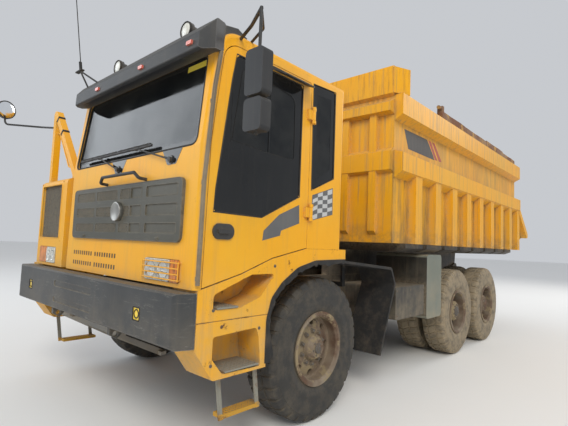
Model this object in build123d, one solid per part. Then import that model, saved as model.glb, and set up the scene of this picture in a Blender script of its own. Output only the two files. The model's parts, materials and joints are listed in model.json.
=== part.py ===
from build123d import *
from math import cos, hypot, radians, sin, tan
import os

# Millimetres. X points to the truck's left, Y is a station counted rearwards from the
# bumper's face and Z is height above the ground. Every finished piece is moved by the
# middle of the truck's length, so the origin is the ground point under that middle.

# Overall
LENGTH = 9900.0
MIRROR_AHEAD = 280.0
MIRROR_REACH = 2290.0
MIDDLE_Y = (LENGTH - MIRROR_AHEAD) / 2

# Fits
SHAFT_FIT = 0.05
SEAT_GAP = 0.3
SHAFT_GAP = 0.7
LIP_GAP = 2.0
RUNNING_GAP = 6.0

# Tyres and rims
TYRE_RADIUS = 684.0
TYRE_WIDTH = 375.0
BEAD_RADIUS = 330.0
RIM_WALL = 28.0
RIM_FLANGE = 354.0
HAND_HOLES = 8
HAND_HOLE_RADIUS = 32.0
HAND_HOLE_CIRCLE = 245.0
WHEEL_Z = TYRE_RADIUS
FRONT_WHEEL_X = 1420.0
REAR_OUTER_X = 1412.0
TWIN_GAP = 70.0
FRONT_AXLE_Y = 1700.0
REAR_AXLE_1_Y = 5500.0
TANDEM = 1520.0
REAR_AXLES_Y = (REAR_AXLE_1_Y, REAR_AXLE_1_Y + TANDEM)
REAR_INNER_X = REAR_OUTER_X - TYRE_WIDTH - TWIN_GAP
REAR_SPINDLE_END = REAR_OUTER_X + 60.0
REAR_HUB_START = REAR_INNER_X - TYRE_WIDTH / 2 - 64.0

# Steering
KINGPIN_X = 1170.0
KINGPIN_RADIUS = 30.0
KINGPIN_EYE_RADIUS = 66.0
KINGPIN_EYE_HEIGHT = 160.0
FORK_THICKNESS = 38.0
FORK_GAP = 5.0
FRONT_SPINDLE_RADIUS = 50.0
STEERING_ARM = 260.0
TIE_ROD_Z = 535.0
TIE_ROD_RADIUS = 24.0
TIE_PIN_RADIUS = 16.0

# Frame
RAIL_X = 390.0
RAIL_WIDTH = 80.0
RAIL_OUTER = RAIL_X + RAIL_WIDTH
RAIL_MID_X = RAIL_X + RAIL_WIDTH / 2
RAIL_PLATE = 16.0
RAIL_TOP = 1260.0
RAIL_HEIGHT = 400.0
RAIL_BOTTOM = RAIL_TOP - RAIL_HEIGHT
RAIL_FRONT_Y = 150.0
RAIL_REAR_Y = 8140.0
CROSSMEMBERS_Y = (330.0, 3150.0, 4350.0, 6260.0, 7700.0)
CROSSMEMBER_DEPTH = 160.0
CROSSMEMBER_WEB = 20.0

# Springs
LEAF_WIDTH = 100.0
FRONT_LEAF = 16.0
FRONT_LEAVES = 5
FRONT_SPRING_HALF = 720.0
REAR_LEAF = 24.0
REAR_LEAVES = 9
REAR_SPRING_HALF = 800.0
REAR_SPRING_ARCH = 70.0
REAR_SPRING_X = 510.0
REAR_SPRING_WIDTH = 120.0
REAR_SPRING_TIP_Z = 870.0
TRUNNION_Z = 800.0

# Rear axles
AXLE_TUBE_RADIUS = 120.0
AXLE_FLANGE_RADIUS = 190.0
REAR_SPINDLE_RADIUS = 70.0
DIFFERENTIAL_RADIUS = 250.0
SHAFT_RADIUS = 50.0
GEARBOX_Z = 740.0

# Bumper
BUMPER_HALF = 1690.0
BUMPER_BOTTOM = 940.0
BUMPER_TOP = 1320.0
BUMPER_CHAMFER = 120.0
BUMPER_BEVEL = 15.0
FOG_LAMPS_X = (-1240.0, 1150.0)
FOG_LAMP_Z = 1120.0
FOG_LAMP_HALF = 50.0
FOG_LAMP_DEPTH = 30.0
TOW_LUGS_X = (-640.0, 640.0)
TOW_LUG_WIDTH = 40.0
TOW_LUG_Y = 95.0
TOW_LUG_Z = 870.0
TOW_BORE_RADIUS = 25.0

# Cab
CAB_LEFT = 1690.0
CAB_RIGHT = -620.0
CAB_MIDDLE = (CAB_LEFT + CAB_RIGHT) / 2
CAB_WALL = 50.0
CAB_FRONT_Y = 120.0
CAB_REAR_Y = 1880.0
CAB_BOTTOM = 1340.0
CAB_REAR_BOTTOM = 1650.0
CAB_TOP = 3300.0
CAB_CORNER = 40.0
BROW_RADIUS = 220.0
ROOF_SEAM = 3110.0
GLASS = 6.0
LAMP_RECESS_Y = CAB_FRONT_Y + 30.0
LAMP_LENS_Y = (CAB_FRONT_Y - 6.0, LAMP_RECESS_Y - SEAT_GAP)

# Door
DOOR_REAR_Y = 1330.0
DOOR_TOP = 3190.0
DOOR_GAP = 6.0
DOOR_HINGE_X = 1716.0
DOOR_HINGE_Y = 1345.0
DOOR_HINGES_Z = (1980.0, 2885.0)
HINGE_PIN_RADIUS = 10.0
HINGE_BARREL_RADIUS = 18.0
HINGE_HEIGHT = 90.0
HINGE_EYE = 30.0

# Column beside the cab
COLUMN_X = (-1500.0, -715.0)
COLUMN_REAR_Y = 1000.0
COLUMN_TOP = 2320.0
POST_TUBE = 72.0

# Dump body
BODY_FRONT_Y = 3210.0
BODY_WALL = 60.0
BODY_HALF = 1560.0
BODY_BOTTOM = 1750.0
BODY_FLOOR = 60.0
BODY_FLANGE = 130.0
MID_RAIL = (2670.0, 2910.0)
MID_RAIL_SLOPE = (85.0, 40.0)
TOP_RAIL = (3410.0, 3680.0)
TOP_RAIL_DEPTH = 120.0
TOP_RAIL_SLOPE = 70.0
SHIELD_RISE = 380.0
SHIELD_TOP = TOP_RAIL[1] + SHIELD_RISE
RAIL_END_Y = 9200.0
TAIL_RAMP_Y = 8620.0
TAIL_Z = 2060.0
POST_PITCH = 668.0
POST_COUNT = 9
FIRST_POST_Y = 3640.0
POST_WIDTH = 200.0
POST_DEPTH = 112.0
CROSS_BEAM_HEIGHT = 110.0
CROSS_BEAM_WIDTH = 540.0
CROSS_BEAM_COUNT = 8
FIRST_CROSS_BEAM_Y = 3460.0
BOARD_GAP = 6.0

# Dump hinge
BED_HINGE_Y = 8300.0
BED_HINGE_Z = 1300.0
BED_PIN_RADIUS = 35.0
BED_EAR_RADIUS = 90.0
BED_EAR = 40.0
BEAM_HALF_WIDTH = 55.0

# Lift cylinder: its foot and its eye lie at the same distance from the bed's hinge
FOOT_Y = 2390.0
FOOT_Z = 1100.0
EYE_Z = 3300.0
BARREL_LENGTH = 1900.0
BARREL_RADIUS = 114.0
STAGE_RADII = (95.0, 78.0, 61.0)
STAGE_STEP = 60.0
FOOT_PIN_RADIUS = 30.0
EYE_RADIUS = 70.0
EYE_WIDTH = 100.0
EYE_EAR_GAP = 17.0
EYE_EAR = 30.0

REACH = hypot(BED_HINGE_Y - FOOT_Y, BED_HINGE_Z - FOOT_Z)
EYE_Y = BED_HINGE_Y - (REACH**2 - (EYE_Z - BED_HINGE_Z) ** 2) ** 0.5
LIFT_LENGTH = hypot(EYE_Y - FOOT_Y, EYE_Z - FOOT_Z)


def block(x, y, z):
    """A box given by its low and high corner on each axis."""
    size = (x[1] - x[0], y[1] - y[0], z[1] - z[0])
    return Pos((x[0] + x[1]) / 2, (y[0] + y[1]) / 2, (z[0] + z[1]) / 2) * Box(*size)


def rounded_face(points):
    """A closed outline of straight runs; a third value on a point rounds that corner."""
    count = len(points)
    starts, ends, arcs = [], [], []
    for index, point in enumerate(points):
        here = Vector(point[0], point[1])
        radius = point[2] if len(point) > 2 else 0
        if not radius:
            starts.append(here)
            ends.append(here)
            arcs.append(None)
            continue
        before = (Vector(*points[index - 1][:2]) - here).normalized()
        after = (Vector(*points[(index + 1) % count][:2]) - here).normalized()
        half = radians(before.get_angle(after)) / 2
        starts.append(here + before * (radius / tan(half)))
        ends.append(here + after * (radius / tan(half)))
        arcs.append(here + (before + after).normalized() * (radius / sin(half) - radius))
    edges = []
    for index in range(count):
        if arcs[index] is not None:
            edges.append(ThreePointArc(starts[index], arcs[index], ends[index]))
        following = starts[(index + 1) % count]
        if (following - ends[index]).length > 1e-6:
            edges.append(Line(ends[index], following))
    return make_face(edges)


def side_plate(outline, x_low, x_high):
    """A plate whose outline is seen from the side, as (station, height) points."""
    return extrude(Plane.YZ.offset(x_low) * rounded_face(outline), amount=x_high - x_low)


def front_plate(outline, y_low, y_high):
    """A plate whose outline is seen from the front, as (x, height) points."""
    return extrude(Plane.XZ.offset(-y_high) * rounded_face(outline), amount=y_high - y_low)


def plan_plate(outline, z_low, z_high):
    """A plate whose outline is seen from above, as (x, station) points."""
    return extrude(Plane.XY.offset(z_low) * rounded_face(outline), amount=z_high - z_low)


def across(radius, x_low, x_high, y, z):
    """A round bar across the truck."""
    bar = Cylinder(radius, x_high - x_low, rotation=(0, 90, 0))
    return Pos((x_low + x_high) / 2, y, z) * bar


def lengthwise(radius, y_low, y_high, x, z):
    """A round bar that runs from front to rear."""
    return Pos(x, (y_low + y_high) / 2, z) * Cylinder(radius, y_high - y_low, rotation=(90, 0, 0))


def upright(radius, x, y, z_low, z_high):
    """A round bar that stands upright."""
    return Pos(x, y, (z_low + z_high) / 2) * Cylinder(radius, z_high - z_low)


def turned(profile, y, z):
    """A ring or wheel turned about an axis across the truck, from (x, radius) points."""
    return Pos(0, y, z) * revolve(rounded_face(profile), Axis.X)


def pipe(points, radius, bend):
    """A bent tube through the points."""
    path = FilletPolyline(*points, radius=bend) if len(points) > 2 else Line(*points)
    start = Plane(origin=path @ 0, z_dir=path % 0)
    return sweep(start * Circle(radius), path)


def mirrored(shape):
    """The same piece on the truck's other side."""
    return mirror(shape, about=Plane.YZ)


def both(shape):
    return [shape, mirrored(shape)]


def fuse(pieces):
    """One shape from many."""
    whole = pieces[0]
    return whole.fuse(*pieces[1:]) if len(pieces) > 1 else whole


def cut(whole, pieces):
    """The shape less all the pieces."""
    for piece in pieces:
        whole -= piece
    return whole


def save(name, *pieces):
    """Writes one node, with the origin under the middle of the truck."""
    solids = []
    for piece in pieces:
        solids += piece.solids()
    placed = [solid.moved(Location((0, -MIDDLE_Y, 0))) for solid in solids]
    whole = placed[0] if len(placed) == 1 else Compound(children=placed)
    whole.label = name
    export_step(whole, f"parts/{name}.step")


# Chassis


def frame_rails():
    """Two channels open to the inside, with the ears and pins of the bed's hinge."""
    y = (RAIL_FRONT_Y, RAIL_REAR_Y)
    rail = block((RAIL_X, RAIL_OUTER), y, (RAIL_BOTTOM, RAIL_TOP))
    hollow = (RAIL_BOTTOM + RAIL_PLATE, RAIL_TOP - RAIL_PLATE)
    rail -= block((RAIL_X - 1, RAIL_OUTER - RAIL_PLATE), (y[0] - 1, y[1] + 1), hollow)
    gap = BEAM_HALF_WIDTH + RUNNING_GAP
    low, high = RAIL_MID_X - gap - BED_EAR, RAIL_MID_X + gap + BED_EAR
    ears = [bed_ear(low), bed_ear(high - BED_EAR)]
    pin = across(BED_PIN_RADIUS, low, high, BED_HINGE_Y, BED_HINGE_Z)
    end = block((low, high), (RAIL_REAR_Y - RAIL_PLATE, RAIL_REAR_Y), (RAIL_BOTTOM + 40, BED_HINGE_Z - 100))
    return both(fuse([rail, *ears, pin, end]))


def bed_ear(inner):
    """One of the plates beside a rail's end that hold the bed's pin."""
    outline = [
        (RAIL_REAR_Y - 260, RAIL_TOP - 10),
        (BED_HINGE_Y - 30, BED_HINGE_Z + BED_EAR_RADIUS * 0.9),
        (BED_HINGE_Y + BED_EAR_RADIUS * 0.9, BED_HINGE_Z - 30),
        (RAIL_REAR_Y + 60, RAIL_BOTTOM + 40),
        (RAIL_REAR_Y - 260, RAIL_BOTTOM + 40),
    ]
    plate = side_plate(outline, inner, inner + BED_EAR)
    eye = across(BED_EAR_RADIUS, inner, inner + BED_EAR, BED_HINGE_Y, BED_HINGE_Z)
    web = RAIL_OUTER - RAIL_PLATE / 2
    spacer = block(
        (min(inner, web), max(inner + BED_EAR, web)),
        (RAIL_REAR_Y - 200, RAIL_REAR_Y - 20),
        (RAIL_BOTTOM + 80, RAIL_TOP - 60),
    )
    return fuse([plate, eye, spacer])


def crossmembers():
    """Beams between the rails' webs, each with two flanges and a web."""
    half = RAIL_OUTER - RAIL_PLATE
    low, high = RAIL_BOTTOM + 60, RAIL_TOP - 90
    pieces = []
    for station in CROSSMEMBERS_Y:
        y = (station - CROSSMEMBER_DEPTH / 2, station + CROSSMEMBER_DEPTH / 2)
        beam = block((-half, half), y, (low, high))
        hollow = (low + CROSSMEMBER_WEB, high - CROSSMEMBER_WEB)
        inner_x = (-half + CROSSMEMBER_WEB, half - CROSSMEMBER_WEB)
        beam -= block(inner_x, (y[0] - 1, station - CROSSMEMBER_WEB / 2), hollow)
        beam -= block(inner_x, (station + CROSSMEMBER_WEB / 2, y[1] + 1), hollow)
        pieces.append(beam)
    pieces.append(lift_bracket(half))
    return pieces


def lift_bracket(half):
    """The crossmember with the two plates that carry the lift cylinder's foot."""
    y = (FOOT_Y - 110, FOOT_Y + 110)
    pieces = [block((-half, half), y, (RAIL_BOTTOM + 20, FOOT_Z - 120))]
    inner = BARREL_RADIUS + RUNNING_GAP
    outline = [
        (FOOT_Y - 90, FOOT_Z - 125),
        (FOOT_Y - 60, FOOT_Z + 60, 50),
        (FOOT_Y + 60, FOOT_Z + 60, 50),
        (FOOT_Y + 90, FOOT_Z - 125),
    ]
    for x_low in (inner, -inner - 30):
        pieces.append(side_plate(outline, x_low, x_low + 30))
    bore = across(FOOT_PIN_RADIUS + SHAFT_FIT, -inner - 40, inner + 40, FOOT_Y, FOOT_Z)
    return fuse(pieces) - bore


def front_axle():
    """A forged beam that drops between its ends, with spring pads and kingpin eyes."""
    half = KINGPIN_X - KINGPIN_EYE_RADIUS + 10
    outline = [
        (-half, WHEEL_Z - 60),
        (-half + 200, WHEEL_Z - 150, 120),
        (half - 200, WHEEL_Z - 150, 120),
        (half, WHEEL_Z - 60),
        (half, WHEEL_Z + 60),
        (half - 200, WHEEL_Z + 10, 120),
        (-half + 200, WHEEL_Z + 10, 120),
        (-half, WHEEL_Z + 60),
    ]
    pieces = [front_plate(outline, FRONT_AXLE_Y - 60, FRONT_AXLE_Y + 60)]
    pad_y = (FRONT_AXLE_Y - 90, FRONT_AXLE_Y + 90)
    pieces += both(block((RAIL_X - 10, RAIL_OUTER + 10), pad_y, (WHEEL_Z - 40, WHEEL_Z + 20)))
    low = WHEEL_Z - KINGPIN_EYE_HEIGHT / 2
    high = low + KINGPIN_EYE_HEIGHT
    pieces += both(upright(KINGPIN_EYE_RADIUS, KINGPIN_X, FRONT_AXLE_Y, low, high))
    bores = both(upright(KINGPIN_RADIUS + SHAFT_FIT, KINGPIN_X, FRONT_AXLE_Y, low - 10, high + 10))
    return cut(fuse(pieces), bores)


def bowed_leaf(middle, half, z_middle, z_tip, thickness):
    """The side outline of one leaf: an arc over its top and the same arc under it."""
    edges = []
    for z in (0, thickness):
        left, right = (middle - half, z_tip + z), (middle + half, z_tip + z)
        edges.append(ThreePointArc(left, (middle, z_middle + z), right))
    edges.append(Line(edges[0] @ 0, edges[1] @ 0))
    edges.append(Line(edges[0] @ 1, edges[1] @ 1))
    return make_face(edges)


def leaf_pack(middle, half, leaves, thickness, z_middle, rise, x_low, width, step):
    """Stacked leaves on one bow, each shorter than the last by the same step."""
    pack = []
    for index in range(leaves):
        length = half - index * abs(step)
        z = z_middle - index * thickness if step > 0 else z_middle + index * thickness
        bow = rise * (length / half) ** 2
        face = bowed_leaf(middle, length, z, z + bow, thickness)
        pack.append(extrude(Plane.YZ.offset(x_low) * face, amount=width))
    return fuse(pack)


def front_spring():
    """The pack over the front axle, hung in brackets under the rail."""
    x_low = RAIL_X - 10
    seat = WHEEL_Z + 20 + SEAT_GAP
    top_leaf = seat + FRONT_LEAF * (FRONT_LEAVES - 1)
    pack = leaf_pack(
        FRONT_AXLE_Y,
        FRONT_SPRING_HALF,
        FRONT_LEAVES,
        FRONT_LEAF,
        top_leaf,
        RAIL_BOTTOM - 62 - top_leaf,
        x_low,
        LEAF_WIDTH,
        110,
    )
    pieces = [pack]
    for y in (FRONT_AXLE_Y - FRONT_SPRING_HALF, FRONT_AXLE_Y + FRONT_SPRING_HALF):
        pieces.append(across(26, x_low, x_low + LEAF_WIDTH, y, RAIL_BOTTOM - 54))
        low = RAIL_BOTTOM - 85
        hanger = [(y - 70, RAIL_BOTTOM), (y - 28, low, 24), (y + 28, low, 24), (y + 70, RAIL_BOTTOM)]
        pieces.append(side_plate(hanger, x_low - 12, x_low + LEAF_WIDTH + 12))
    clamp_y = (FRONT_AXLE_Y - 70, FRONT_AXLE_Y + 70)
    clamp = block((x_low - 12, x_low + LEAF_WIDTH + 12), clamp_y, (seat, top_leaf + 46))
    return fuse([*pieces, clamp])


def rear_spring():
    """The inverted pack between the two rear axles, on its trunnion."""
    middle = sum(REAR_AXLES_Y) / 2
    x = (REAR_SPRING_X, REAR_SPRING_X + REAR_SPRING_WIDTH)
    low = REAR_SPRING_TIP_Z + REAR_SPRING_ARCH
    pack = leaf_pack(
        middle,
        REAR_SPRING_HALF,
        REAR_LEAVES,
        REAR_LEAF,
        low,
        -REAR_SPRING_ARCH,
        x[0],
        REAR_SPRING_WIDTH,
        -80,
    )
    hub = across(95, x[0], x[1] + 10, middle, TRUNNION_Z)
    saddle = block(x, (middle - 120, middle + 120), (TRUNNION_Z + 40, low + 20))
    bracket_outline = [
        (middle - 220, RAIL_TOP - 160),
        (middle - 110, TRUNNION_Z - 120, 60),
        (middle + 110, TRUNNION_Z - 120, 60),
        (middle + 220, RAIL_TOP - 160),
    ]
    bracket = side_plate(bracket_outline, RAIL_OUTER, x[0] + 10)
    clamp = block(x, (middle - 90, middle + 90), (low, low + REAR_LEAF * REAR_LEAVES + 30))
    return fuse([pack, hub, saddle, bracket, clamp])


def leaf_springs():
    """Front packs under the rails and one inverted pack each side over the rear axles."""
    return [*both(front_spring()), *both(rear_spring())]


def rear_axle(station, through):
    """A drive axle housing with its round middle and a spindle for each twin wheel."""
    flange = REAR_INNER_X - TYRE_WIDTH / 2 - 70
    half = [
        (REAR_SPINDLE_END, 0),
        (REAR_SPINDLE_END, REAR_SPINDLE_RADIUS),
        (flange, REAR_SPINDLE_RADIUS),
        (flange, AXLE_FLANGE_RADIUS),
        (flange - 30, AXLE_FLANGE_RADIUS),
        (flange - 30, AXLE_TUBE_RADIUS),
        (DIFFERENTIAL_RADIUS, AXLE_TUBE_RADIUS, 60),
        (DIFFERENTIAL_RADIUS * 0.55, DIFFERENTIAL_RADIUS * 0.85, 60),
        (DIFFERENTIAL_RADIUS * 0.25, DIFFERENTIAL_RADIUS, 40),
    ]
    other_half = [(-point[0], *point[1:]) for point in reversed(half)]
    pieces = [turned([*half, *other_half], station, WHEEL_Z)]
    pieces.append(lengthwise(110, station - 330, station - 70, 0, WHEEL_Z + 40))
    if through:
        pieces.append(lengthwise(70, station + 100, station + 300, 0, WHEEL_Z + 40))
    pad_top = REAR_SPRING_TIP_Z - SEAT_GAP
    x = (REAR_SPRING_X, REAR_SPRING_X + REAR_SPRING_WIDTH)
    pieces += both(block(x, (station - 80, station + 80), (WHEEL_Z + AXLE_TUBE_RADIUS - 20, pad_top)))
    return fuse(pieces)


def rear_axles():
    return [rear_axle(REAR_AXLES_Y[0], True), rear_axle(REAR_AXLES_Y[1], False)]


def power_train():
    """The engine and gearbox as plain masses at their place, and the drive shafts."""
    engine = block((-330, 330), (900, 2150), (720, 1480))
    gearbox = lengthwise(120, 2140, 2860, 0, GEARBOX_Z)
    nose = REAR_AXLES_Y[0] - 330 - SHAFT_GAP
    shaft = pipe([(0, 2840, GEARBOX_Z), (0, nose, WHEEL_Z + 40)], SHAFT_RADIUS, 0)
    feet = []
    for y in (1050.0, 1950.0):
        feet += both(block((300, RAIL_OUTER - RAIL_PLATE - SEAT_GAP), (y - 60, y + 60), (1000, 1070)))
    between = (REAR_AXLES_Y[0] + 300 + SEAT_GAP, REAR_AXLES_Y[1] - 330 - SEAT_GAP)
    second = lengthwise(SHAFT_RADIUS, *between, 0, WHEEL_Z + 40)
    return [fuse([engine, gearbox, shaft, *feet]), second]


def bumper():
    """A bevelled beam with chamfered ends, two pressed grooves and the tow lugs."""
    outline = [
        (-BUMPER_HALF, BUMPER_CHAMFER),
        (-BUMPER_HALF + 40, 0, 60),
        (BUMPER_HALF - 40, 0, 60),
        (BUMPER_HALF, BUMPER_CHAMFER),
        (BUMPER_HALF, RAIL_FRONT_Y),
        (-BUMPER_HALF, RAIL_FRONT_Y),
    ]
    section = [
        (0, BUMPER_BOTTOM + BUMPER_BEVEL),
        (BUMPER_BEVEL, BUMPER_BOTTOM),
        (RAIL_FRONT_Y, BUMPER_BOTTOM),
        (RAIL_FRONT_Y, BUMPER_TOP),
        (BUMPER_BEVEL, BUMPER_TOP),
        (0, BUMPER_TOP - BUMPER_BEVEL),
    ]
    body = plan_plate(outline, BUMPER_BOTTOM, BUMPER_TOP) & side_plate(section, -BUMPER_HALF, BUMPER_HALF)
    for low, high in ((1010.0, 1060.0), (1165.0, 1225.0)):
        groove = [(-540, low, 20), (350, low, 20), (350, high, 20), (-540, high, 20)]
        body -= front_plate(groove, -10, 8)
    for x in FOG_LAMPS_X:
        z = (FOG_LAMP_Z - FOG_LAMP_HALF, FOG_LAMP_Z + FOG_LAMP_HALF)
        body -= block((x - FOG_LAMP_HALF, x + FOG_LAMP_HALF), (-10, FOG_LAMP_DEPTH), z)
    pieces = [body]
    lug = [
        (40, BUMPER_BOTTOM),
        (40, TOW_LUG_Z),
        (TOW_LUG_Y + 15, TOW_LUG_Z - 40),
        (RAIL_FRONT_Y, TOW_LUG_Z),
        (RAIL_FRONT_Y, BUMPER_BOTTOM),
    ]
    for x in TOW_LUGS_X:
        pieces.append(side_plate(lug, x - TOW_LUG_WIDTH / 2, x + TOW_LUG_WIDTH / 2))
    whole = fuse(pieces)
    for x in TOW_LUGS_X:
        whole -= across(TOW_BORE_RADIUS, x - 40, x + 40, TOW_LUG_Y, TOW_LUG_Z + 5)
    return whole


def sump_guard():
    """A finned guard that hangs under the rails behind the bumper."""
    pieces = [block((-900, 470), (220, 290), (800, RAIL_BOTTOM - SEAT_GAP))]
    pieces.append(block((-900, 300), (770, 830), (505, 545)))
    fin = [(225, 800), (290, 800), (830, 545), (830, 505), (770, 505)]
    for index in range(18):
        low = -900 + index * 70
        if low + 22 <= 300:
            pieces.append(side_plate(fin, low, low + 22))
    return fuse(pieces)


# Cab


CAB_FOOT = [
    (CAB_REAR_Y, CAB_REAR_BOTTOM),
    (1330.0, CAB_REAR_BOTTOM),
    (890.0, 1560.0),
    (550.0, 1440.0),
    (170.0, CAB_BOTTOM),
]
CAB_PROFILE = [
    (CAB_FRONT_Y, CAB_BOTTOM),
    (135.0, 2380.0),
    (212.0, 3050.0),
    (241.0, CAB_TOP, BROW_RADIUS),
    (CAB_REAR_Y, CAB_TOP),
    *CAB_FOOT,
]
INNER_PROFILE = [
    (CAB_FRONT_Y + CAB_WALL, CAB_BOTTOM - 50),
    (185.0, 2380.0),
    (262.0, 3050.0),
    (290.0, CAB_TOP - CAB_WALL, BROW_RADIUS - CAB_WALL),
    (CAB_REAR_Y - CAB_WALL, CAB_TOP - CAB_WALL),
    (CAB_REAR_Y - CAB_WALL, CAB_BOTTOM - 50),
]
SCREEN = [(-540, 2385, 70), (1610, 2385, 70), (1580, 3095, 60), (-500, 3095, 60)]
DOOR_OUTLINE = [
    (187.0, 1354.0),
    (205.0, 2400.0),
    (262.0, 2900.0),
    (300.0, DOOR_TOP, 150),
    (DOOR_REAR_Y, DOOR_TOP, 30),
    (DOOR_REAR_Y, 1658.0),
    (890.0, 1568.0),
    (550.0, 1448.0),
]
DOORWAY = [
    (80.0, CAB_BOTTOM - 90),
    (180.5, 1340.0),
    (199.0, 2400.0),
    (256.0, 2900.0),
    (293.0, DOOR_TOP + DOOR_GAP, 156),
    (DOOR_REAR_Y + DOOR_GAP, DOOR_TOP + DOOR_GAP, 30),
    (DOOR_REAR_Y + DOOR_GAP, CAB_BOTTOM - 90),
]
DOOR_WINDOW = [
    (254, 1900, 30),
    (745, 1893, 60),
    (1207, 2110, 45),
    (1207, 3130, 40),
    (405, 3130, 60),
    (371, 2918),
    (265, 2071),
]
QUARTER_WINDOW = [(1375, 2190, 20), (1720, 2345, 30), (1715, 3220, 30), (1360, 3200, 20)]
RIGHT_WINDOW = [(480, 2150, 40), (1250, 2150, 40), (1250, 3130, 40), (520, 3130, 60)]
REAR_WINDOW = [(20, 2500, 40), (1080, 2500, 40), (1080, 3050, 40), (20, 3050, 40)]


def front_y(z):
    """The station of the cab's front face at a height up to the brow."""
    for (y0, z0), (y1, z1) in zip(CAB_PROFILE[:2], CAB_PROFILE[1:3]):
        if z <= z1:
            return y0 + (y1 - y0) * (z - z0) / (z1 - z0)
    return y1


def cab_outer():
    """The cab's outside as one solid with rounded vertical corners and roof edges."""
    body = side_plate(CAB_PROFILE, CAB_RIGHT, CAB_LEFT)
    rounded = []
    for edge in body.edges():
        middle = edge.center()
        at_side = min(abs(middle.X - CAB_LEFT), abs(middle.X - CAB_RIGHT)) < 1
        if at_side and (middle.Z > CAB_TOP - 5 or middle.Y > CAB_REAR_Y - 5 or middle.Y < 300):
            if middle.Z > CAB_BOTTOM + 30:
                rounded.append(edge)
    return fillet(rounded, CAB_CORNER)


def cab_shell():
    """The outer solid less its inside."""
    outer = cab_outer()
    return outer - side_plate(INNER_PROFILE, CAB_RIGHT + CAB_WALL, CAB_LEFT - CAB_WALL)


def cab_panels():
    """The shell parted where the front, roof, back and side panels meet."""
    shell = cab_shell()
    wide = (CAB_RIGHT - 10, CAB_LEFT + 10)
    inner_front = [(0, 1200), (170.2, 1200), (185.2, 2380), (262.0, 3050), (269.0, ROOF_SEAM), (0, ROOF_SEAM)]
    front_space = side_plate(inner_front, *wide)
    rear_space = block(wide, (CAB_REAR_Y - CAB_WALL, CAB_REAR_Y + 10), (1000, CAB_TOP - CAB_WALL))
    ceiling = CAB_TOP - CAB_WALL
    roof_outline = [(0, ROOF_SEAM), (269.0, ROOF_SEAM), (290.0, ceiling, 150), (1990, ceiling)]
    roof_space = side_plate([*roof_outline, (1990, CAB_TOP + 60), (0, CAB_TOP + 60)], *wide)
    front = shell & front_space
    rear = (shell & rear_space) - roof_space
    roof = shell & roof_space
    sides = shell - front_space - rear_space - roof_space
    return front, roof, rear, sides


FRONT_PANEL, ROOF_PANEL, REAR_PANEL, SIDE_PANELS = cab_panels()


def wall_of(x_low, x_high):
    """The part of the side panels between two places across the cab."""
    return SIDE_PANELS & block((x_low, x_high), (0, 2500), (1200, CAB_TOP + 10))


def cab_floor():
    """The stepped floor plate over the front corner and the wheel."""
    lower = [(CAB_REAR_Y - CAB_WALL, CAB_REAR_BOTTOM), *CAB_FOOT[1:-1], (172.5, CAB_BOTTOM + 2)]
    upper = [(y, z + CAB_WALL) for y, z in reversed(lower)]
    return side_plate([*lower, *upper], CAB_RIGHT + CAB_WALL, CAB_LEFT - CAB_WALL)


def cab_front():
    """The front panel with its screen opening, slotted vents, lamp recess and guard bars."""
    panel = FRONT_PANEL - front_plate(SCREEN, 0, 400)
    for x_low in (-420.0, 70.0):
        for z_low in (1400.0, 1500.0):
            for index in range(9):
                low = x_low + 8 + index * 50
                panel -= block((low, low + 28), (80, 200), (z_low, z_low + 40))
    panel -= front_plate(HEADLAMP_RECESS, 80, LAMP_RECESS_Y)
    bars = []
    for index in range(4):
        bars.append(across(5, 1020, 1520, CAB_FRONT_Y - 22, 1392 + index * 42))
    for x in (1020, 1520):
        bars.append(upright(5, x, CAB_FRONT_Y - 22, 1385, 1525))
        for z in (1392, 1518):
            bars.append(lengthwise(5, CAB_FRONT_Y - 22, CAB_FRONT_Y + 12, x, z))
    return fuse([panel, *bars])


HEADLAMP_RECESS = [(1030, 1370, 18), (1505, 1370, 18), (1505, 1540, 18), (1030, 1540, 18)]


def cab_rear():
    return REAR_PANEL - front_plate(REAR_WINDOW, CAB_REAR_Y - 60, CAB_REAR_Y + 10)


def hinge_eyes(z):
    """The cab's half of one door hinge: two eyes, their arms and the pin."""
    half = HINGE_HEIGHT / 2 + HINGE_EYE + 2
    pieces = [upright(HINGE_PIN_RADIUS, DOOR_HINGE_X, DOOR_HINGE_Y, z - half, z + half)]
    for low in (z - half, z + half - HINGE_EYE):
        pieces.append(upright(HINGE_BARREL_RADIUS, DOOR_HINGE_X, DOOR_HINGE_Y, low, low + HINGE_EYE))
        arm_y = (DOOR_HINGE_Y, DOOR_HINGE_Y + 36)
        pieces.append(block((CAB_LEFT - 1, DOOR_HINGE_X), arm_y, (low, low + HINGE_EYE)))
    return pieces


def cab_left_side():
    """The fixed left wall round the door, with the rear quarter window cut."""
    x = (CAB_LEFT - CAB_WALL, CAB_LEFT)
    wall = wall_of(x[0], x[1] + 5)
    wall -= side_plate(DOORWAY, x[0] - 10, x[1] + 10)
    wall -= side_plate(QUARTER_WINDOW, x[0] - 10, x[1] + 10)
    hinges = []
    for z in DOOR_HINGES_Z:
        hinges += hinge_eyes(z)
    return fuse([wall, *hinges])


def cab_right_side():
    wall = wall_of(CAB_RIGHT - 5, CAB_RIGHT + CAB_WALL)
    return wall - side_plate(RIGHT_WINDOW, CAB_RIGHT - 10, CAB_RIGHT + CAB_WALL + 10)


def pane(outline):
    """An opening's face drawn in by the seating gap."""
    return offset(rounded_face(outline), amount=-SEAT_GAP)


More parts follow.
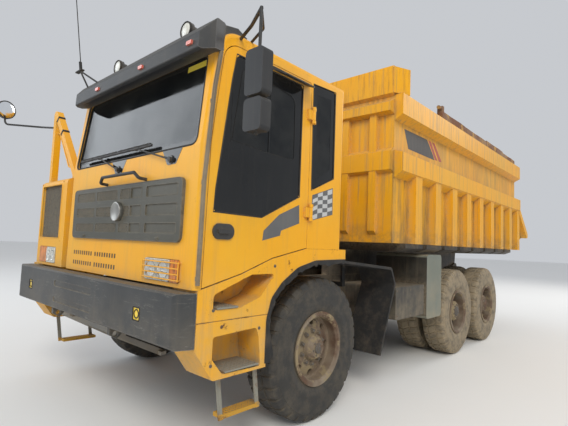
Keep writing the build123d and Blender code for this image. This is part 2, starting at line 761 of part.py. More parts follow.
def cab_glass():
    """Windscreen, rear quarter, right and rear panes, each seated in its opening."""
    sheet = [
        (155.0, 2380.0),
        (232.0, 3050.0),
        (239.0, 3100.0),
        (239.0 + GLASS, 3100.0),
        (232.0 + GLASS, 3050.0),
        (155.0 + GLASS, 2380.0),
    ]
    screen = side_plate(sheet, CAB_RIGHT, CAB_LEFT) & extrude(Plane.XZ * pane(SCREEN), amount=-500)
    quarter = extrude(Plane.YZ.offset(CAB_LEFT - 14) * pane(QUARTER_WINDOW), amount=GLASS)
    right = extrude(Plane.YZ.offset(CAB_RIGHT + 8) * pane(RIGHT_WINDOW), amount=GLASS)
    rear = extrude(Plane.XZ.offset(-CAB_REAR_Y + 8) * pane(REAR_WINDOW), amount=GLASS)
    return [screen, quarter, right, rear]


def seat(x):
    """A seat with its base, cushion and back."""
    base = block((x - 200, x + 200), (1080, 1480), (CAB_REAR_BOTTOM + CAB_WALL + 2 + SEAT_GAP, 2010))
    cushion = side_plate([(960, 2010, 40), (1500, 2010), (1500, 2140), (960, 2130, 50)], x - 260, x + 260)
    back = side_plate([(1430, 2100), (1560, 2100), (1700, 2800, 40), (1600, 2800, 40)], x - 250, x + 250)
    rest = [(1615, 2810, 30), (1700, 2810, 30), (1725, 2980, 30), (1640, 2980, 30)]
    head = side_plate(rest, x - 130, x + 130)
    stalks = [block((x + side * 60 - 8, x + side * 60 + 8), (1650, 1670), (2780, 2830)) for side in (-1, 1)]
    return fuse([base, cushion, back, head, *stalks])


def cab_interior():
    """Two seats, the dashboard and the steering wheel."""
    dash_outline = [
        (front_y(1700) + CAB_WALL + 1, 1700),
        (560, 1700, 40),
        (640, 2180, 60),
        (480, 2330, 60),
        (front_y(2330) + CAB_WALL + 1, 2330),
    ]
    dash = side_plate(dash_outline, CAB_RIGHT + CAB_WALL + 1, CAB_LEFT - CAB_WALL - 40)
    hub = Pos(1150, 805, 2405) * Rot(-46, 0, 0)
    column = pipe([(1150, 540, 2150), (1150, 800, 2400)], 30, 0)
    wheel = fuse([dash, column, hub * Torus(210, 16), hub * Box(420, 40, 16), hub * Cylinder(50, 40)])
    return [seat(1150.0), seat(50.0), wheel]


def visors():
    """The dark visor over the windscreen, with bevelled ends."""
    profile = [
        (35, 3045, 12),
        (45, 3165, 30),
        (160, 3295, 60),
        (420, 3345),
        (520, CAB_TOP + 2),
        (400, 3200),
        (250, 3090),
        (70, 3040, 10),
    ]
    blank = side_plate(profile, CAB_RIGHT + 60, CAB_LEFT + 60)
    plan = [
        (CAB_RIGHT + 80, 600),
        (CAB_RIGHT + 70, 150),
        (CAB_RIGHT + 200, 20),
        (CAB_LEFT, 20),
        (CAB_LEFT + 60, 150),
        (CAB_LEFT + 10, 262),
        (CAB_LEFT - 20, 300),
        (CAB_LEFT - 20, 600),
    ]
    return (blank & plan_plate(plan, 3000, 3400)) - CAB_SOLID


def aerial():
    """The whip on its V bracket at the visor's right-hand end."""
    whip = pipe([(-610, 120, 3575), (-960, 120, 4650)], 5, 0)
    pad = Pos(-605, 120, 3540) * Rot(0, -18, 0) * Cylinder(16, 110)
    plate = block((-690, -540), (100, 140), (3480, 3494))
    legs = [
        pipe([(-600, 120, 3487), (CAB_RIGHT + 290, 120, 3215)], 9, 0),
        pipe([(-600, 120, 3487), (CAB_RIGHT + 500, 120, 3240)], 9, 0),
    ]
    return fuse([whip, pad, plate, *legs]) - VISOR_SOLID


def wipers():
    """Two arms with their blades, and the grab handle under the screen."""
    pieces = []
    for pivot, tip, low, high in ((436, 40, -370, 430), (1300, 760, 430, 1020)):
        y = front_y(2330)
        pieces.append(lengthwise(20, y - 30, y + 4, pivot, 2300))
        pieces.append(pipe([(pivot, y - 22, 2300), (tip, y - 18, 2450)], 7, 0))
        pieces.append(block((low, high), (y - 24, y - 10), (2443, 2459)))
        pieces.append(block((tip - 12, tip + 12), (y - 24, y - 6), (2432, 2470)))
    arms = fuse(pieces[:4]), fuse(pieces[4:])
    right_end = [(240, 130, 2172), (240, 62, 2176), (300, 50, 2225)]
    left_end = [(880, 50, 2225), (940, 62, 2176), (940, 130, 2172)]
    handle = pipe([*right_end, *left_end], 14, 22)
    return [piece - CAB_SOLID for piece in (*arms, handle)]


CAB_SOLID = cab_outer()
VISOR_SOLID = visors()


def slat_pocket(x, z, depth):
    """A rectangular pocket in the grille with three slats left standing."""
    low = 104 - 1
    pocket = front_plate([(x[0], z[0], 10), (x[1], z[0], 10), (x[1], z[1], 10), (x[0], z[1], 10)], low, depth)
    for index in range(3):
        middle = z[0] + (z[1] - z[0]) * (index + 1) / 4
        pocket -= block((x[0] - 1, x[1] + 1), (110, depth + 1), (middle - 5, middle + 5))
    return pocket


def grille():
    """The front cover: three columns of slatted pockets and one of pressed ones."""
    plate = front_plate([(-440, 1665, 60), (1510, 1665, 60), (1510, 2150, 60), (-440, 2150, 60)], 104, 150)
    rows = ((1730.0, 1810.0), (1870.0, 1960.0), (2020.0, 2110.0))
    for z in rows:
        for x in ((-360, 50), (90, 505), (560, 730)):
            plate -= slat_pocket(x, z, 122)
        pressed = [(1000, z[0], 14), (1450, z[0], 14), (1450, z[1], 14), (1000, z[1], 14)]
        plate -= front_plate(pressed, 103, 110)
    disc = lengthwise(88, 62, 112, 850, 1913)
    latches = [block((x - 22, x + 22), (94, 106), (1676, 1700)) for x in (-150, 1200)]
    return fuse([plate, disc, *latches]) - CAB_SOLID


def lamps():
    """Headlamps and work lamps, each in its housing."""
    left = [(1033, 1373, 15), (1380, 1373, 15), (1380, 1537, 15), (1033, 1537, 15)]
    right = [(-1165, 1373, 15), (-913, 1373, 15), (-913, 1547, 15), (-1165, 1547, 15)]
    pieces = [front_plate(shape, *LAMP_LENS_Y) for shape in (left, right)]
    for x in (CAB_MIDDLE - 610, CAB_MIDDLE + 610):
        z = CAB_TOP + 150
        bowl = lengthwise(75, 290, 330, x, z) + lengthwise(58, 320, 370, x, z)
        foot = block((x - 22, x + 22), (318, 352), (CAB_TOP - 20, z - 40))
        pieces.append(fuse([bowl, foot]) - CAB_SOLID - VISOR_SOLID)
    return pieces


def amber_lamps():
    """Indicators beside the headlamps, fog lamps in the bumper and visor markers."""
    left = [(1383, 1373, 15), (1502, 1373, 15), (1502, 1537, 15), (1383, 1537, 15)]
    right = [(-1397, 1373, 15), (-1168, 1373, 15), (-1168, 1547, 15), (-1397, 1547, 15)]
    pieces = [front_plate(shape, *LAMP_LENS_Y) for shape in (left, right)]
    half = FOG_LAMP_HALF - SEAT_GAP
    z = (FOG_LAMP_Z - half, FOG_LAMP_Z + half)
    for x in FOG_LAMPS_X:
        pieces.append(block((x - half, x + half), (4, FOG_LAMP_DEPTH - SEAT_GAP), z))
    for x in (90.0, 910.0, 1600.0):
        pieces.append(block((x - 30, x + 30), (22, 60), (3085, 3112)) - VISOR_SOLID)
    return pieces


def pillar_pipe():
    """The dark tube in front of the door, held off the corner by three brackets."""
    x = CAB_LEFT + 16
    tube = pipe([(x, 138, 1376), (x, 147, 2100), (x, 199, 2815), (x, 240, 3080)], 16, 300)
    brackets = []
    for z in (1420.0, 2100.0, 2700.0):
        y = front_y(z) + 24
        brackets.append(block((x - 60, x), (y - 12, y + 12), (z - 15, z + 15)))
    return fuse([tube, *brackets]) - CAB_SOLID - VISOR_SOLID


# Right-hand front corner


def cooling_column():
    """The box at the right-hand front corner, with its mesh panel let in."""
    foot = [
        (CAB_FRONT_Y, CAB_BOTTOM + SEAT_GAP),
        (170, CAB_BOTTOM + SEAT_GAP),
        (550, 1440 + SEAT_GAP),
        (890, 1560 + SEAT_GAP),
        (COLUMN_REAR_Y, 1590),
        (COLUMN_REAR_Y, COLUMN_TOP, 30),
        (CAB_FRONT_Y, COLUMN_TOP, 60),
    ]
    box = side_plate(foot, *COLUMN_X)
    mesh = [(-1450, 1650, 15), (-850, 1650, 15), (-850, 2255, 15), (-1450, 2255, 15)]
    box -= front_plate(mesh, CAB_FRONT_Y - 5, CAB_FRONT_Y + 30)
    box -= front_plate(RIGHT_LAMP_RECESS, CAB_FRONT_Y - 5, LAMP_RECESS_Y)
    side_mesh = [(240, 1700, 15), (900, 1700, 15), (900, 2200, 15), (240, 2200, 15)]
    return box - side_plate(side_mesh, COLUMN_X[0] - 5, COLUMN_X[0] + 20)


RIGHT_LAMP_RECESS = [(-1400, 1370, 18), (-910, 1370, 18), (-910, 1550, 18), (-1400, 1550, 18)]


def handrail():
    """The A-shaped frame on the column, with its thin bar and the rail of the deck."""
    low = COLUMN_TOP + SEAT_GAP
    outer = [(-1510, low), (-1510, 3215, 50), (-1430, 3215, 50), (-715, 2385, 60), (-715, low)]
    inner = [(-1438, low - 20), (-1438, 3114, 12), (-787, 2358, 12), (-787, low - 20)]
    frame = front_plate(outer, 190, 190 + POST_TUBE) - front_plate(inner, 180, 200 + POST_TUBE)
    bar_y = 190 + POST_TUBE / 2
    bar = [(-1440, 2940), (-1370, 2930), (-1010, 2480), (-870, 2470)]
    thin = pipe([(x, bar_y, z) for x, z in bar], 9, 40)
    deck_z = CAB_REAR_BOTTOM + 20 + SEAT_GAP
    rail_side = [(1060, deck_z), (1060, 2600), (1850, 2600), (1850, deck_z)]
    rail = pipe([(-1640, y, z) for y, z in rail_side], 17, 90)
    knee = lengthwise(14, 1060, 1850, -1640, 2150)
    return [fuse([frame, thin]), fuse([rail, knee])]


def side_deck():
    """The walkway behind the column, on the right-hand fender."""
    deck_z = (CAB_REAR_BOTTOM - 1 + SEAT_GAP, CAB_REAR_BOTTOM + 20)
    return block((-1680, CAB_RIGHT - 20), (COLUMN_REAR_Y + 1, CAB_REAR_Y), deck_z)


def air_cleaner():
    """The canister on the walkway, with its ribbed cap."""
    low = CAB_REAR_BOTTOM + 20 + SEAT_GAP
    profile = [(0, low), (150, low), (150, low + 60), (190, low + 60), (190, 2350), (150, 2350), (150, 2390)]
    profile += [(230, 2390, 20), (230, 2480, 40), (0, 2510)]
    return Pos(-1250, 1500, 0) * revolve(Plane.XZ * rounded_face(profile), Axis.Z)


# Front corners


ARCH = [
    (860.0, 690.0),
    (860.0, 1060.0, 200),
    (910.0, 1230.0, 150),
    (1030.0, 1350.0, 250),
    (1230.0, 1470.0, 300),
    (1480.0, 1530.0, 300),
    (1970.0, 1540.0),
]
FENDER_OUTLINE = [
    (170.0, CAB_BOTTOM - SEAT_GAP),
    (155.0, CAB_BOTTOM - SEAT_GAP),
    (155.0, 920.0, 40),
    (320.0, 690.0, 30),
    *ARCH,
    (1970.0, CAB_REAR_BOTTOM - 1),
    (1330.0, CAB_REAR_BOTTOM - 1),
    (890.0, 1559.0),
    (550.0, 1439.0),
]
UPPER_POCKET = [
    (296, 1190, 25),
    (296, 1300, 40),
    (667, 1436, 30),
    (935, 1436, 18),
    (770, 1255, 60),
    (560, 1190, 60),
]
LOWER_POCKET = [(309, 842, 15), (309, 1000, 25), (740, 1018, 30), (768, 940), (800, 712, 15), (410, 722, 20)]
FENDER_X = 1380.0
POCKET_X = 1440.0


def fender():
    """A front corner panel with two step pockets, a seam and the strip over the wheel."""
    body = side_plate(FENDER_OUTLINE, FENDER_X, BUMPER_HALF)
    for pocket in (UPPER_POCKET, LOWER_POCKET):
        body -= side_plate(pocket, POCKET_X, BUMPER_HALF + 10)
    return body - block((BUMPER_HALF - 8, BUMPER_HALF + 1), (150, 880), (1107, 1113))


def ladder():
    """The treads in the step pockets, and two straps with a tread under them."""
    pieces = []
    treads = ((330, 530, 1194), (430, 770, 728))
    for y_low, y_high, z in treads:
        pieces.append(block((POCKET_X, BUMPER_HALF + 10), (y_low, y_high), (z, z + 12)))
    straps = []
    for y in (470.0, 850.0):
        outline = [(y - 45, 690 - SEAT_GAP), (y - 5, 690 - SEAT_GAP), (y + 45, 345), (y + 5, 345)]
        straps.append(side_plate(outline, 1590, 1602))
    straps.append(block((1500, 1602), (500, 900), (350, 380)))
    return [*pieces, fuse(straps)]


def mudguard():
    """The rubber lip on the arch and the flap behind the wheel."""
    def shifted(dy, dz):
        return [(point[0] + dy, point[1] + dz, *point[2:]) for point in ARCH]

    outer = [(862.0, 700.0), *shifted(LIP_GAP, -LIP_GAP)[1:]]
    back = [(2975.0, 1455.0, 60), (3082.0, 1250.0, 60), (2745.0, 455.0), (2715.0, 462.0)]
    back += [(3050.0, 1250.0, 50), (2955.0, 1425.0, 50), (1970.0, 1512.0)]
    inner = [(point[0] + 24, point[1] - 24, *point[2:]) for point in reversed(ARCH[1:-1])]
    lip = side_plate([*outer, *back, *inner, (950.0, 760.0, 20)], 1600, BUMPER_HALF)
    flap = [(1975.0, 1512.0), (1975.0, 1536.0), *back[:-1]]
    sheet = side_plate(flap, 1230, 1600)
    bracket = block((RAIL_OUTER, 1260), (2560, 2620), (1205, 1255))
    post = block((1235, 1260), (2560, 2620), (1205, 1470))
    return fuse([lip, sheet, bracket, post])


def mirror_head(x, y, z, depth):
    """One mirror head, its back rounded, seen from the front."""
    outline = [(x[0], z[0], 30), (x[1], z[0], 30), (x[1], z[1], 30), (x[0], z[1], 30)]
    return front_plate(outline, y - depth / 2, y + depth / 2)


def left_mirror():
    """Two stacked heads on a rod, hung from the V bracket at the roof's corner."""
    outer = MIRROR_REACH
    x = (outer - 160, outer)
    mid = sum(x) / 2
    y = 150.0
    heads = [mirror_head(x, y, (2610, 2910), 90), mirror_head(x, y, (2380, 2590), 90)]
    rod = upright(11, mid, y, 2360, 3200)
    arm = pipe([(mid, y, 3190), (1900, 350, 3262), (1600, 470, 3262)], 13, 80)
    stay = pipe([(mid - 60, y + 60, 3212), (1900, 470, 3290), (1600, 590, 3290)], 11, 80)
    return fuse([*heads, rod, arm, stay]) - CAB_SOLID - VISOR_SOLID


def right_mirror():
    """The round mirror on its arm from the A-shaped frame, facing the cab."""
    tilt = 14.7
    radius = 118.0
    half = 20.0
    lean = radius * sin(radians(90 - tilt)) + half * sin(radians(tilt))
    place = Pos(-2240, -MIRROR_AHEAD + lean, 3290)
    disc = place * Rot(0, 0, tilt) * Cylinder(radius, 2 * half, rotation=(0, 90, 0))
    y = -MIRROR_AHEAD + lean
    arm = pipe([(-1500, 226, 3020), (-1800, 150, 3060), (-2240, y, 3100), (-2240, y, 3200)], 12, 60)
    frame = handrail()[0]
    return fuse([disc, arm]) - frame


def mirrors():
    return [left_mirror(), right_mirror()]


def side_tanks():
    """Battery box, upright tank and air tank on the left, fuel tank on the right."""
    inner = RAIL_OUTER + 330
    battery_side = [(3260, 780, 30), (4100, 780, 30), (4100, 1190, 30), (3260, 1190, 30)]
    battery = side_plate(battery_side, inner, 1600)
    shelf = block((RAIL_OUTER, inner), (3400, 3960), (860, 940))
    tank_side = [(4170, 700, 60), (4700, 700, 60), (4700, 1610, 60), (4170, 1610, 60)]
    tank = side_plate(tank_side, inner, 1610)
    strut = block((RAIL_OUTER, inner), (4300, 4560), (860, 940))
    air = lengthwise(110, 3420, 3940, RAIL_OUTER + 180, 1050)
    end = (-1600, -RAIL_OUTER - 200)

    def tank_end(grow):
        corners = ((end[0] - grow, 720 - grow), (end[0] - grow, 1420 + grow))
        corners += ((end[1] + grow, 1420 + grow), (end[1] + grow, 720 - grow))
        return [(*corner, 90 + grow) for corner in corners]

    fuel = front_plate(tank_end(0), 3280, 4700)
    bands = [front_plate(tank_end(6), y, y + 60) for y in (3560.0, 4360.0)]
    saddle = block((-RAIL_OUTER - 260, -RAIL_OUTER), (3500, 4500), (880, 980))
    return [fuse([battery, shelf, air]), fuse([tank, strut]), fuse([fuel, saddle, *bands])]


# Door


def door_shell():
    """The door with its window cut, a pressed inner panel and its half of the hinges."""
    x = (CAB_LEFT - CAB_WALL, CAB_LEFT)
    panel = side_plate(DOOR_OUTLINE, *x) - side_plate(DOOR_WINDOW, x[0] - 10, x[1] + 10)
    pressed = [(600, 1600, 40), (1220, 1720, 40), (1220, 2000, 40), (760, 1800, 60), (600, 1800, 40)]
    panel -= side_plate(pressed, x[0] - 1, x[0] + 25)
    pieces = [panel]
    for z in DOOR_HINGES_Z:
        low, high = z - HINGE_HEIGHT / 2, z + HINGE_HEIGHT / 2
        pieces.append(upright(HINGE_BARREL_RADIUS, DOOR_HINGE_X, DOOR_HINGE_Y, low, high))
        leaf = [
            (CAB_LEFT - 1, DOOR_HINGE_Y - 70),
            (DOOR_HINGE_X, DOOR_HINGE_Y - 70),
            (DOOR_HINGE_X, DOOR_HINGE_Y),
            (CAB_LEFT + 8, DOOR_HINGE_Y),
            (CAB_LEFT + 8, DOOR_REAR_Y - 2),
            (CAB_LEFT - 1, DOOR_REAR_Y - 2),
        ]
        pieces.append(plan_plate(leaf, low, high))
    bore = HINGE_PIN_RADIUS + SHAFT_FIT
    bores = [upright(bore, DOOR_HINGE_X, DOOR_HINGE_Y, z - 100, z + 100) for z in DOOR_HINGES_Z]
    return cut(fuse(pieces), bores)


def door_glass():
    return extrude(Plane.YZ.offset(CAB_LEFT - 14) * pane(DOOR_WINDOW), amount=GLASS)


def door_trim():
    """The oval handle plate and the small visor over the door's window."""
    handle = [(253, 1702, 57), (453, 1702, 57), (453, 1818, 57), (253, 1818, 57)]
    plate = side_plate(handle, CAB_LEFT, CAB_LEFT + 12)
    grip = [(290, 1745, 12), (415, 1745, 12), (415, 1775, 12), (290, 1775, 12)]
    plate = fuse([plate, side_plate(grip, CAB_LEFT + 10, CAB_LEFT + 30)])
    leaf_section = [(CAB_LEFT, 3146), (CAB_LEFT + 130, 3086), (CAB_LEFT + 130, 3094), (CAB_LEFT, 3180)]
    reach = CAB_LEFT + 131
    leaf_plan = [(CAB_LEFT - 5, 780), (reach, 840, 60), (reach, 1230, 60), (CAB_LEFT - 5, 1290)]
    leaf = front_plate(leaf_section, 780, 1290) & plan_plate(leaf_plan, 3000, 3300)
    return [plate, leaf]


# Steering and wheels


def knuckle():
    """The left fork with its kingpin, spindle and steering arm."""
    half = KINGPIN_EYE_HEIGHT / 2
    fork_low = WHEEL_Z - half - FORK_GAP - FORK_THICKNESS
    y = (FRONT_AXLE_Y - 60, FRONT_AXLE_Y + 60)
    pieces = [upright(KINGPIN_RADIUS, KINGPIN_X, FRONT_AXLE_Y, WHEEL_Z - half - 45, WHEEL_Z + half + 45)]
    for low in (WHEEL_Z + half + FORK_GAP, fork_low):
        pieces.append(upright(KINGPIN_EYE_RADIUS, KINGPIN_X, FRONT_AXLE_Y, low, low + FORK_THICKNESS))
        pieces.append(block((KINGPIN_X, KINGPIN_X + 110), y, (low, low + FORK_THICKNESS)))
    web_half = half + FORK_GAP + FORK_THICKNESS
    pieces.append(block((KINGPIN_X + 76, KINGPIN_X + 112), y, (WHEEL_Z - web_half, WHEEL_Z + web_half)))
    spindle = (KINGPIN_X + 100, FRONT_WHEEL_X + 90)
    pieces.append(across(FRONT_SPINDLE_RADIUS, *spindle, FRONT_AXLE_Y, WHEEL_Z))
    arm_y = (FRONT_AXLE_Y, FRONT_AXLE_Y + STEERING_ARM + 28)
    pieces.append(block((KINGPIN_X - 28, KINGPIN_X + 28), arm_y, (fork_low, fork_low + 25)))
    pin_z = (TIE_ROD_Z - TIE_ROD_RADIUS - 15, fork_low + 10)
    pieces.append(upright(TIE_PIN_RADIUS, KINGPIN_X, FRONT_AXLE_Y + STEERING_ARM, *pin_z))
    return fuse(pieces)


def tie_rod():
    """The rod between the two steering arms."""
    y = FRONT_AXLE_Y + STEERING_ARM
    pieces = [across(TIE_ROD_RADIUS, -KINGPIN_X, KINGPIN_X, y, TIE_ROD_Z)]
    pieces += both(upright(36, KINGPIN_X, y, TIE_ROD_Z - 20, TIE_ROD_Z + 20))
    bores = []
    for side, fit in ((1, SHAFT_FIT), (-1, SHAFT_FIT * 10)):
        bores.append(upright(TIE_PIN_RADIUS + fit, side * KINGPIN_X, y, TIE_ROD_Z - 60, TIE_ROD_Z + 60))
    return cut(fuse(pieces), bores)


def tyre(x, y):
    half = TYRE_WIDTH / 2
    side = [
        (40, BEAD_RADIUS),
        (12, BEAD_RADIUS + 60),
        (0, BEAD_RADIUS + 190),
        (14, TYRE_RADIUS - 70),
        (40, TYRE_RADIUS - 12),
        (90, TYRE_RADIUS),
    ]
    inner = [(x - half + point[0], point[1]) for point in side]
    outer = [(x + half - point[0], point[1]) for point in reversed(side)]
    return turned([*inner, *outer], y, WHEEL_Z)


def hand_holes(count, x, y, radius, circle):
    """Bars across the wheel, evenly spaced on a circle, to cut its hand holes."""
    bars = []
    for index in range(count):
        angle = radians(index * 360 / count)
        bars.append(across(radius, *x, y + circle * cos(angle), WHEEL_Z + circle * sin(angle)))
    return bars


def front_rim():
    """The dished front wheel with its hub, nut ring, hand holes and flanges."""
    outer = BEAD_RADIUS - SEAT_GAP
    inner = outer - RIM_WALL
    low = FRONT_WHEEL_X - TYRE_WIDTH / 2 + 8
    high = FRONT_WHEEL_X + TYRE_WIDTH / 2 - 8
    bore = FRONT_SPINDLE_RADIUS + SHAFT_FIT
    profile = [
        (KINGPIN_X + 118, bore),
        (FRONT_WHEEL_X + 95, bore),
        (FRONT_WHEEL_X + 95, 0),
        (high - 20, 0),
        (high - 20, 90),
        (high - 60, 120),
        (high - 100, 130),
        (high - 100, 190),
        (high - 120, inner - 20),
        (high - 110, inner),
        (high - 20, inner),
        (high, inner + 20),
        (high, RIM_FLANGE),
        (high - 14, RIM_FLANGE),
        (high - 14, outer + 8),
        (high - 30, outer),
        (low + 30, outer),
        (low + 14, outer + 8),
        (low + 14, RIM_FLANGE),
        (low, RIM_FLANGE),
        (low, inner),
        (high - 150, inner),
        (high - 140, 190),
        (high - 122, 130),
        (KINGPIN_X + 118, 130),
    ]
    wheel = turned(profile, FRONT_AXLE_Y, WHEEL_Z)
    reach = (high - 170, high - 80)
    return cut(wheel, hand_holes(HAND_HOLES, reach, FRONT_AXLE_Y, HAND_HOLE_RADIUS, HAND_HOLE_CIRCLE))


def rear_rim(station):
    """The twin rear wheels as one turned piece with a deep dish on the outside."""
    outer = BEAD_RADIUS - SEAT_GAP
    inner = outer - RIM_WALL
    high = REAR_OUTER_X + TYRE_WIDTH / 2 - 8
    low = high - 2 * TYRE_WIDTH - TWIN_GAP + 16
    middle = (low + high) / 2
    bore = REAR_SPINDLE_RADIUS + SHAFT_FIT
    profile = [
        (REAR_HUB_START, bore),
        (REAR_SPINDLE_END + 6, bore),
        (REAR_SPINDLE_END + 6, 0),
        (high - 40, 0),
        (high - 40, 130),
        (high - 70, 160),
        (middle + 20, 170),
        (middle + 20, inner),
        (high - 20, inner),
        (high, inner + 20),
        (high, RIM_FLANGE),
        (high - 14, RIM_FLANGE),
        (high - 20, outer),
        (low + 20, outer),
        (low + 14, RIM_FLANGE),
        (low, RIM_FLANGE),
        (low, inner),
        (middle - 20, inner),
        (middle - 20, 170),
        (REAR_HUB_START, 170),
    ]
    wheel = turned(profile, station, WHEEL_Z)
    reach = (middle - 30, middle + 30)
    return cut(wheel, hand_holes(HAND_HOLES, reach, station, HAND_HOLE_RADIUS, HAND_HOLE_CIRCLE - 8))


# Dump body


MID_RAIL_X = BODY_HALF + BODY_FLANGE
TOP_RAIL_X = BODY_HALF + TOP_RAIL_DEPTH
POST_X = BODY_HALF + POST_DEPTH


def rail_section(outer_x, z, below, above):
    """A rail of the side wall seen from the front, sloped back to the wall at both edges."""
    return [(BODY_HALF, z[0] - below), (outer_x, z[0]), (outer_x, z[1]), (BODY_HALF, z[1] + above)]


def body_side():
    """The left side: wall, lower and upper rails, tail flange and the upright posts."""
    wall_outline = [
        (BODY_FRONT_Y + BODY_WALL, BODY_BOTTOM),
        (TAIL_RAMP_Y, BODY_BOTTOM),
        (LENGTH, TAIL_Z),
        (LENGTH, TAIL_Z + 90),
        (RAIL_END_Y, MID_RAIL[0]),
        (RAIL_END_Y, TOP_RAIL[1]),
        (BODY_FRONT_Y + BODY_WALL, TOP_RAIL[1]),
    ]
    pieces = [side_plate(wall_outline, BODY_HALF - BODY_WALL, BODY_HALF)]
    mid = rail_section(MID_RAIL_X, MID_RAIL, *MID_RAIL_SLOPE)
    top = rail_section(TOP_RAIL_X, TOP_RAIL, TOP_RAIL_SLOPE, 0)
    for section in (mid, top):
        pieces.append(front_plate(section, BODY_FRONT_Y, RAIL_END_Y))
    post_top = MID_RAIL[0] - MID_RAIL_SLOPE[0]
    post = [(BODY_HALF, BODY_BOTTOM), (POST_X, BODY_BOTTOM), (POST_X, MID_RAIL[0]), (BODY_HALF, post_top)]
    for index in range(POST_COUNT):
        low = FIRST_POST_Y + index * POST_PITCH
        if low + POST_WIDTH < RAIL_END_Y:
            pieces.append(front_plate(post, low, low + POST_WIDTH))
    flange = [
        (RAIL_END_Y, MID_RAIL[0] + 10),
        (LENGTH, TAIL_Z + 90),
        (LENGTH, TAIL_Z),
        (LENGTH - 90, TAIL_Z - 15),
        (RAIL_END_Y - 40, MID_RAIL[0] - 120),
        (RAIL_END_Y - 40, MID_RAIL[0] + 10),
    ]
    pieces.append(side_plate(flange, BODY_HALF, MID_RAIL_X))
    return fuse(pieces)


def body_floor():
    outline = [
        (BODY_FRONT_Y + BODY_WALL, BODY_BOTTOM),
        (TAIL_RAMP_Y, BODY_BOTTOM),
        (LENGTH, TAIL_Z),
        (LENGTH, TAIL_Z + BODY_FLOOR),
        (TAIL_RAMP_Y, BODY_BOTTOM + BODY_FLOOR),
        (BODY_FRONT_Y + BODY_WALL, BODY_BOTTOM + BODY_FLOOR),
    ]
    half = BODY_HALF - BODY_WALL
    return side_plate(outline, -half, half)


def body_front():
    """The front wall with its belts and ribs, the shield above it and the lift's ears."""
    face = BODY_FRONT_Y
    wall = block((-BODY_HALF, BODY_HALF), (face, face + BODY_WALL), (BODY_BOTTOM, TOP_RAIL[1]))
    belt = [(face + 1, 2660), (face - 70, 2690), (face - 70, 2930), (face + 1, 2985)]
    ledge = [(face + 1, 3420), (face - 110, 3450), (face - 110, 3560), (face + 1, 3625)]
    foot = TOP_RAIL[1]
    shield = [(face - 60, foot + 10), (face, foot - 20), (face, SHIELD_TOP), (face - 60, SHIELD_TOP, 25)]
    pieces = [wall]
    for outline in (belt, ledge, shield):
        pieces.append(side_plate(outline, -BODY_HALF, BODY_HALF))
    for x in (-1330.0, -900.0, 800.0, 1230.0):
        rib = [(face + 1, 1850), (face - 60, 1900), (face - 60, 3460), (face + 1, 3500)]
        pieces.append(side_plate(rib, x, x + 100))
    for x in (-1400.0, -500.0, 470.0, 1370.0):
        gusset = [(face - 1, TOP_RAIL[1] - 5), (face + 130, TOP_RAIL[1] - 5), (face - 1, SHIELD_TOP - 60)]
        pieces.append(side_plate(gusset, x, x + 30))
    wing = [
        (BODY_HALF - 30, face - 50),
        (BODY_HALF + 20, face - 60),
        (BODY_HALF + 125, face + 180),
        (BODY_HALF + 100, face + 190),
        (BODY_HALF - 30, face - 10),
    ]
    pieces += both(plan_plate(wing, TOP_RAIL[1] + 10, SHIELD_TOP - 25))
    tip = EYE_Y - 60
    ear = [(face + 1, EYE_Z - 170), (tip, EYE_Z - 70, 40), (tip, EYE_Z + 70, 40), (face + 1, EYE_Z + 170)]
    inner = EYE_WIDTH / 2 + EYE_EAR_GAP
    pieces += both(side_plate(ear, inner, inner + EYE_EAR))
    return fuse(pieces)


def body_subframe():
    """The two long beams with their hinge ears and the cross beams under the floor."""
    low = RAIL_TOP + SEAT_GAP
    high = BODY_BOTTOM - CROSS_BEAM_HEIGHT
    outline = [
        (BODY_FRONT_Y + 120, low),
        (BED_HINGE_Y - 120, low),
        (BED_HINGE_Y - 60, BED_HINGE_Z - 60),
        (BED_HINGE_Y + 60, BED_HINGE_Z - 60),
        (BED_HINGE_Y + 120, high),
        (BODY_FRONT_Y + 120, high),
    ]
    x = (RAIL_MID_X - BEAM_HALF_WIDTH, RAIL_MID_X + BEAM_HALF_WIDTH)
    beam = fuse([side_plate(outline, *x), across(BED_EAR_RADIUS, *x, BED_HINGE_Y, BED_HINGE_Z)])
    beam -= across(BED_PIN_RADIUS + SHAFT_FIT, x[0] - 10, x[1] + 10, BED_HINGE_Y, BED_HINGE_Z)
    pieces = both(beam)
    half = BODY_HALF + 60
    section = [
        (-half, BODY_BOTTOM),
        (-half, BODY_BOTTOM - 60),
        (-half + 120, high),
        (half - 120, high),
        (half, BODY_BOTTOM - 60),
        (half, BODY_BOTTOM),
    ]
    for index in range(CROSS_BEAM_COUNT):
        y_low = FIRST_CROSS_BEAM_Y + index * POST_PITCH
        y_high = min(y_low + CROSS_BEAM_WIDTH, TAIL_RAMP_Y - 10)
        pieces.append(front_plate(section, y_low, y_high))
    return fuse(pieces)


def body_boards():
    """The extension boards in four sections, with a bracket post at their front."""
    boards = []
    low = 4720.0
    for length, height in ((1180, 205), (1154, 195), (1144, 210), (984, 180)):
        high = min(low + length, RAIL_END_Y)
        z = TOP_RAIL[1]
        top = z + height
        notched = [(high, top - 12), (high - 300, top), (low + 420, top - 6), (low, top)]
        boards.append(side_plate([(low, z), (high, z), *notched], BODY_HALF - 20, BODY_HALF + 5))
        low += length + BOARD_GAP
    post = block((BODY_HALF - 25, BODY_HALF + 60), (4650, 4714), (TOP_RAIL[1], TOP_RAIL[1] + 240))
    pipe_end = lengthwise(28, 4560, 4651, BODY_HALF + 30, TOP_RAIL[1] + 200)
    boards.append(fuse([post, pipe_end]))
    pieces = []
    for board in boards:
        pieces += both(board)
    return pieces


# Lift cylinder


LIFT_PLANE = Plane(
    origin=(0, FOOT_Y, FOOT_Z),
    x_dir=(1, 0, 0),
    z_dir=(0, (EYE_Y - FOOT_Y) / LIFT_LENGTH, (EYE_Z - FOOT_Z) / LIFT_LENGTH),
)


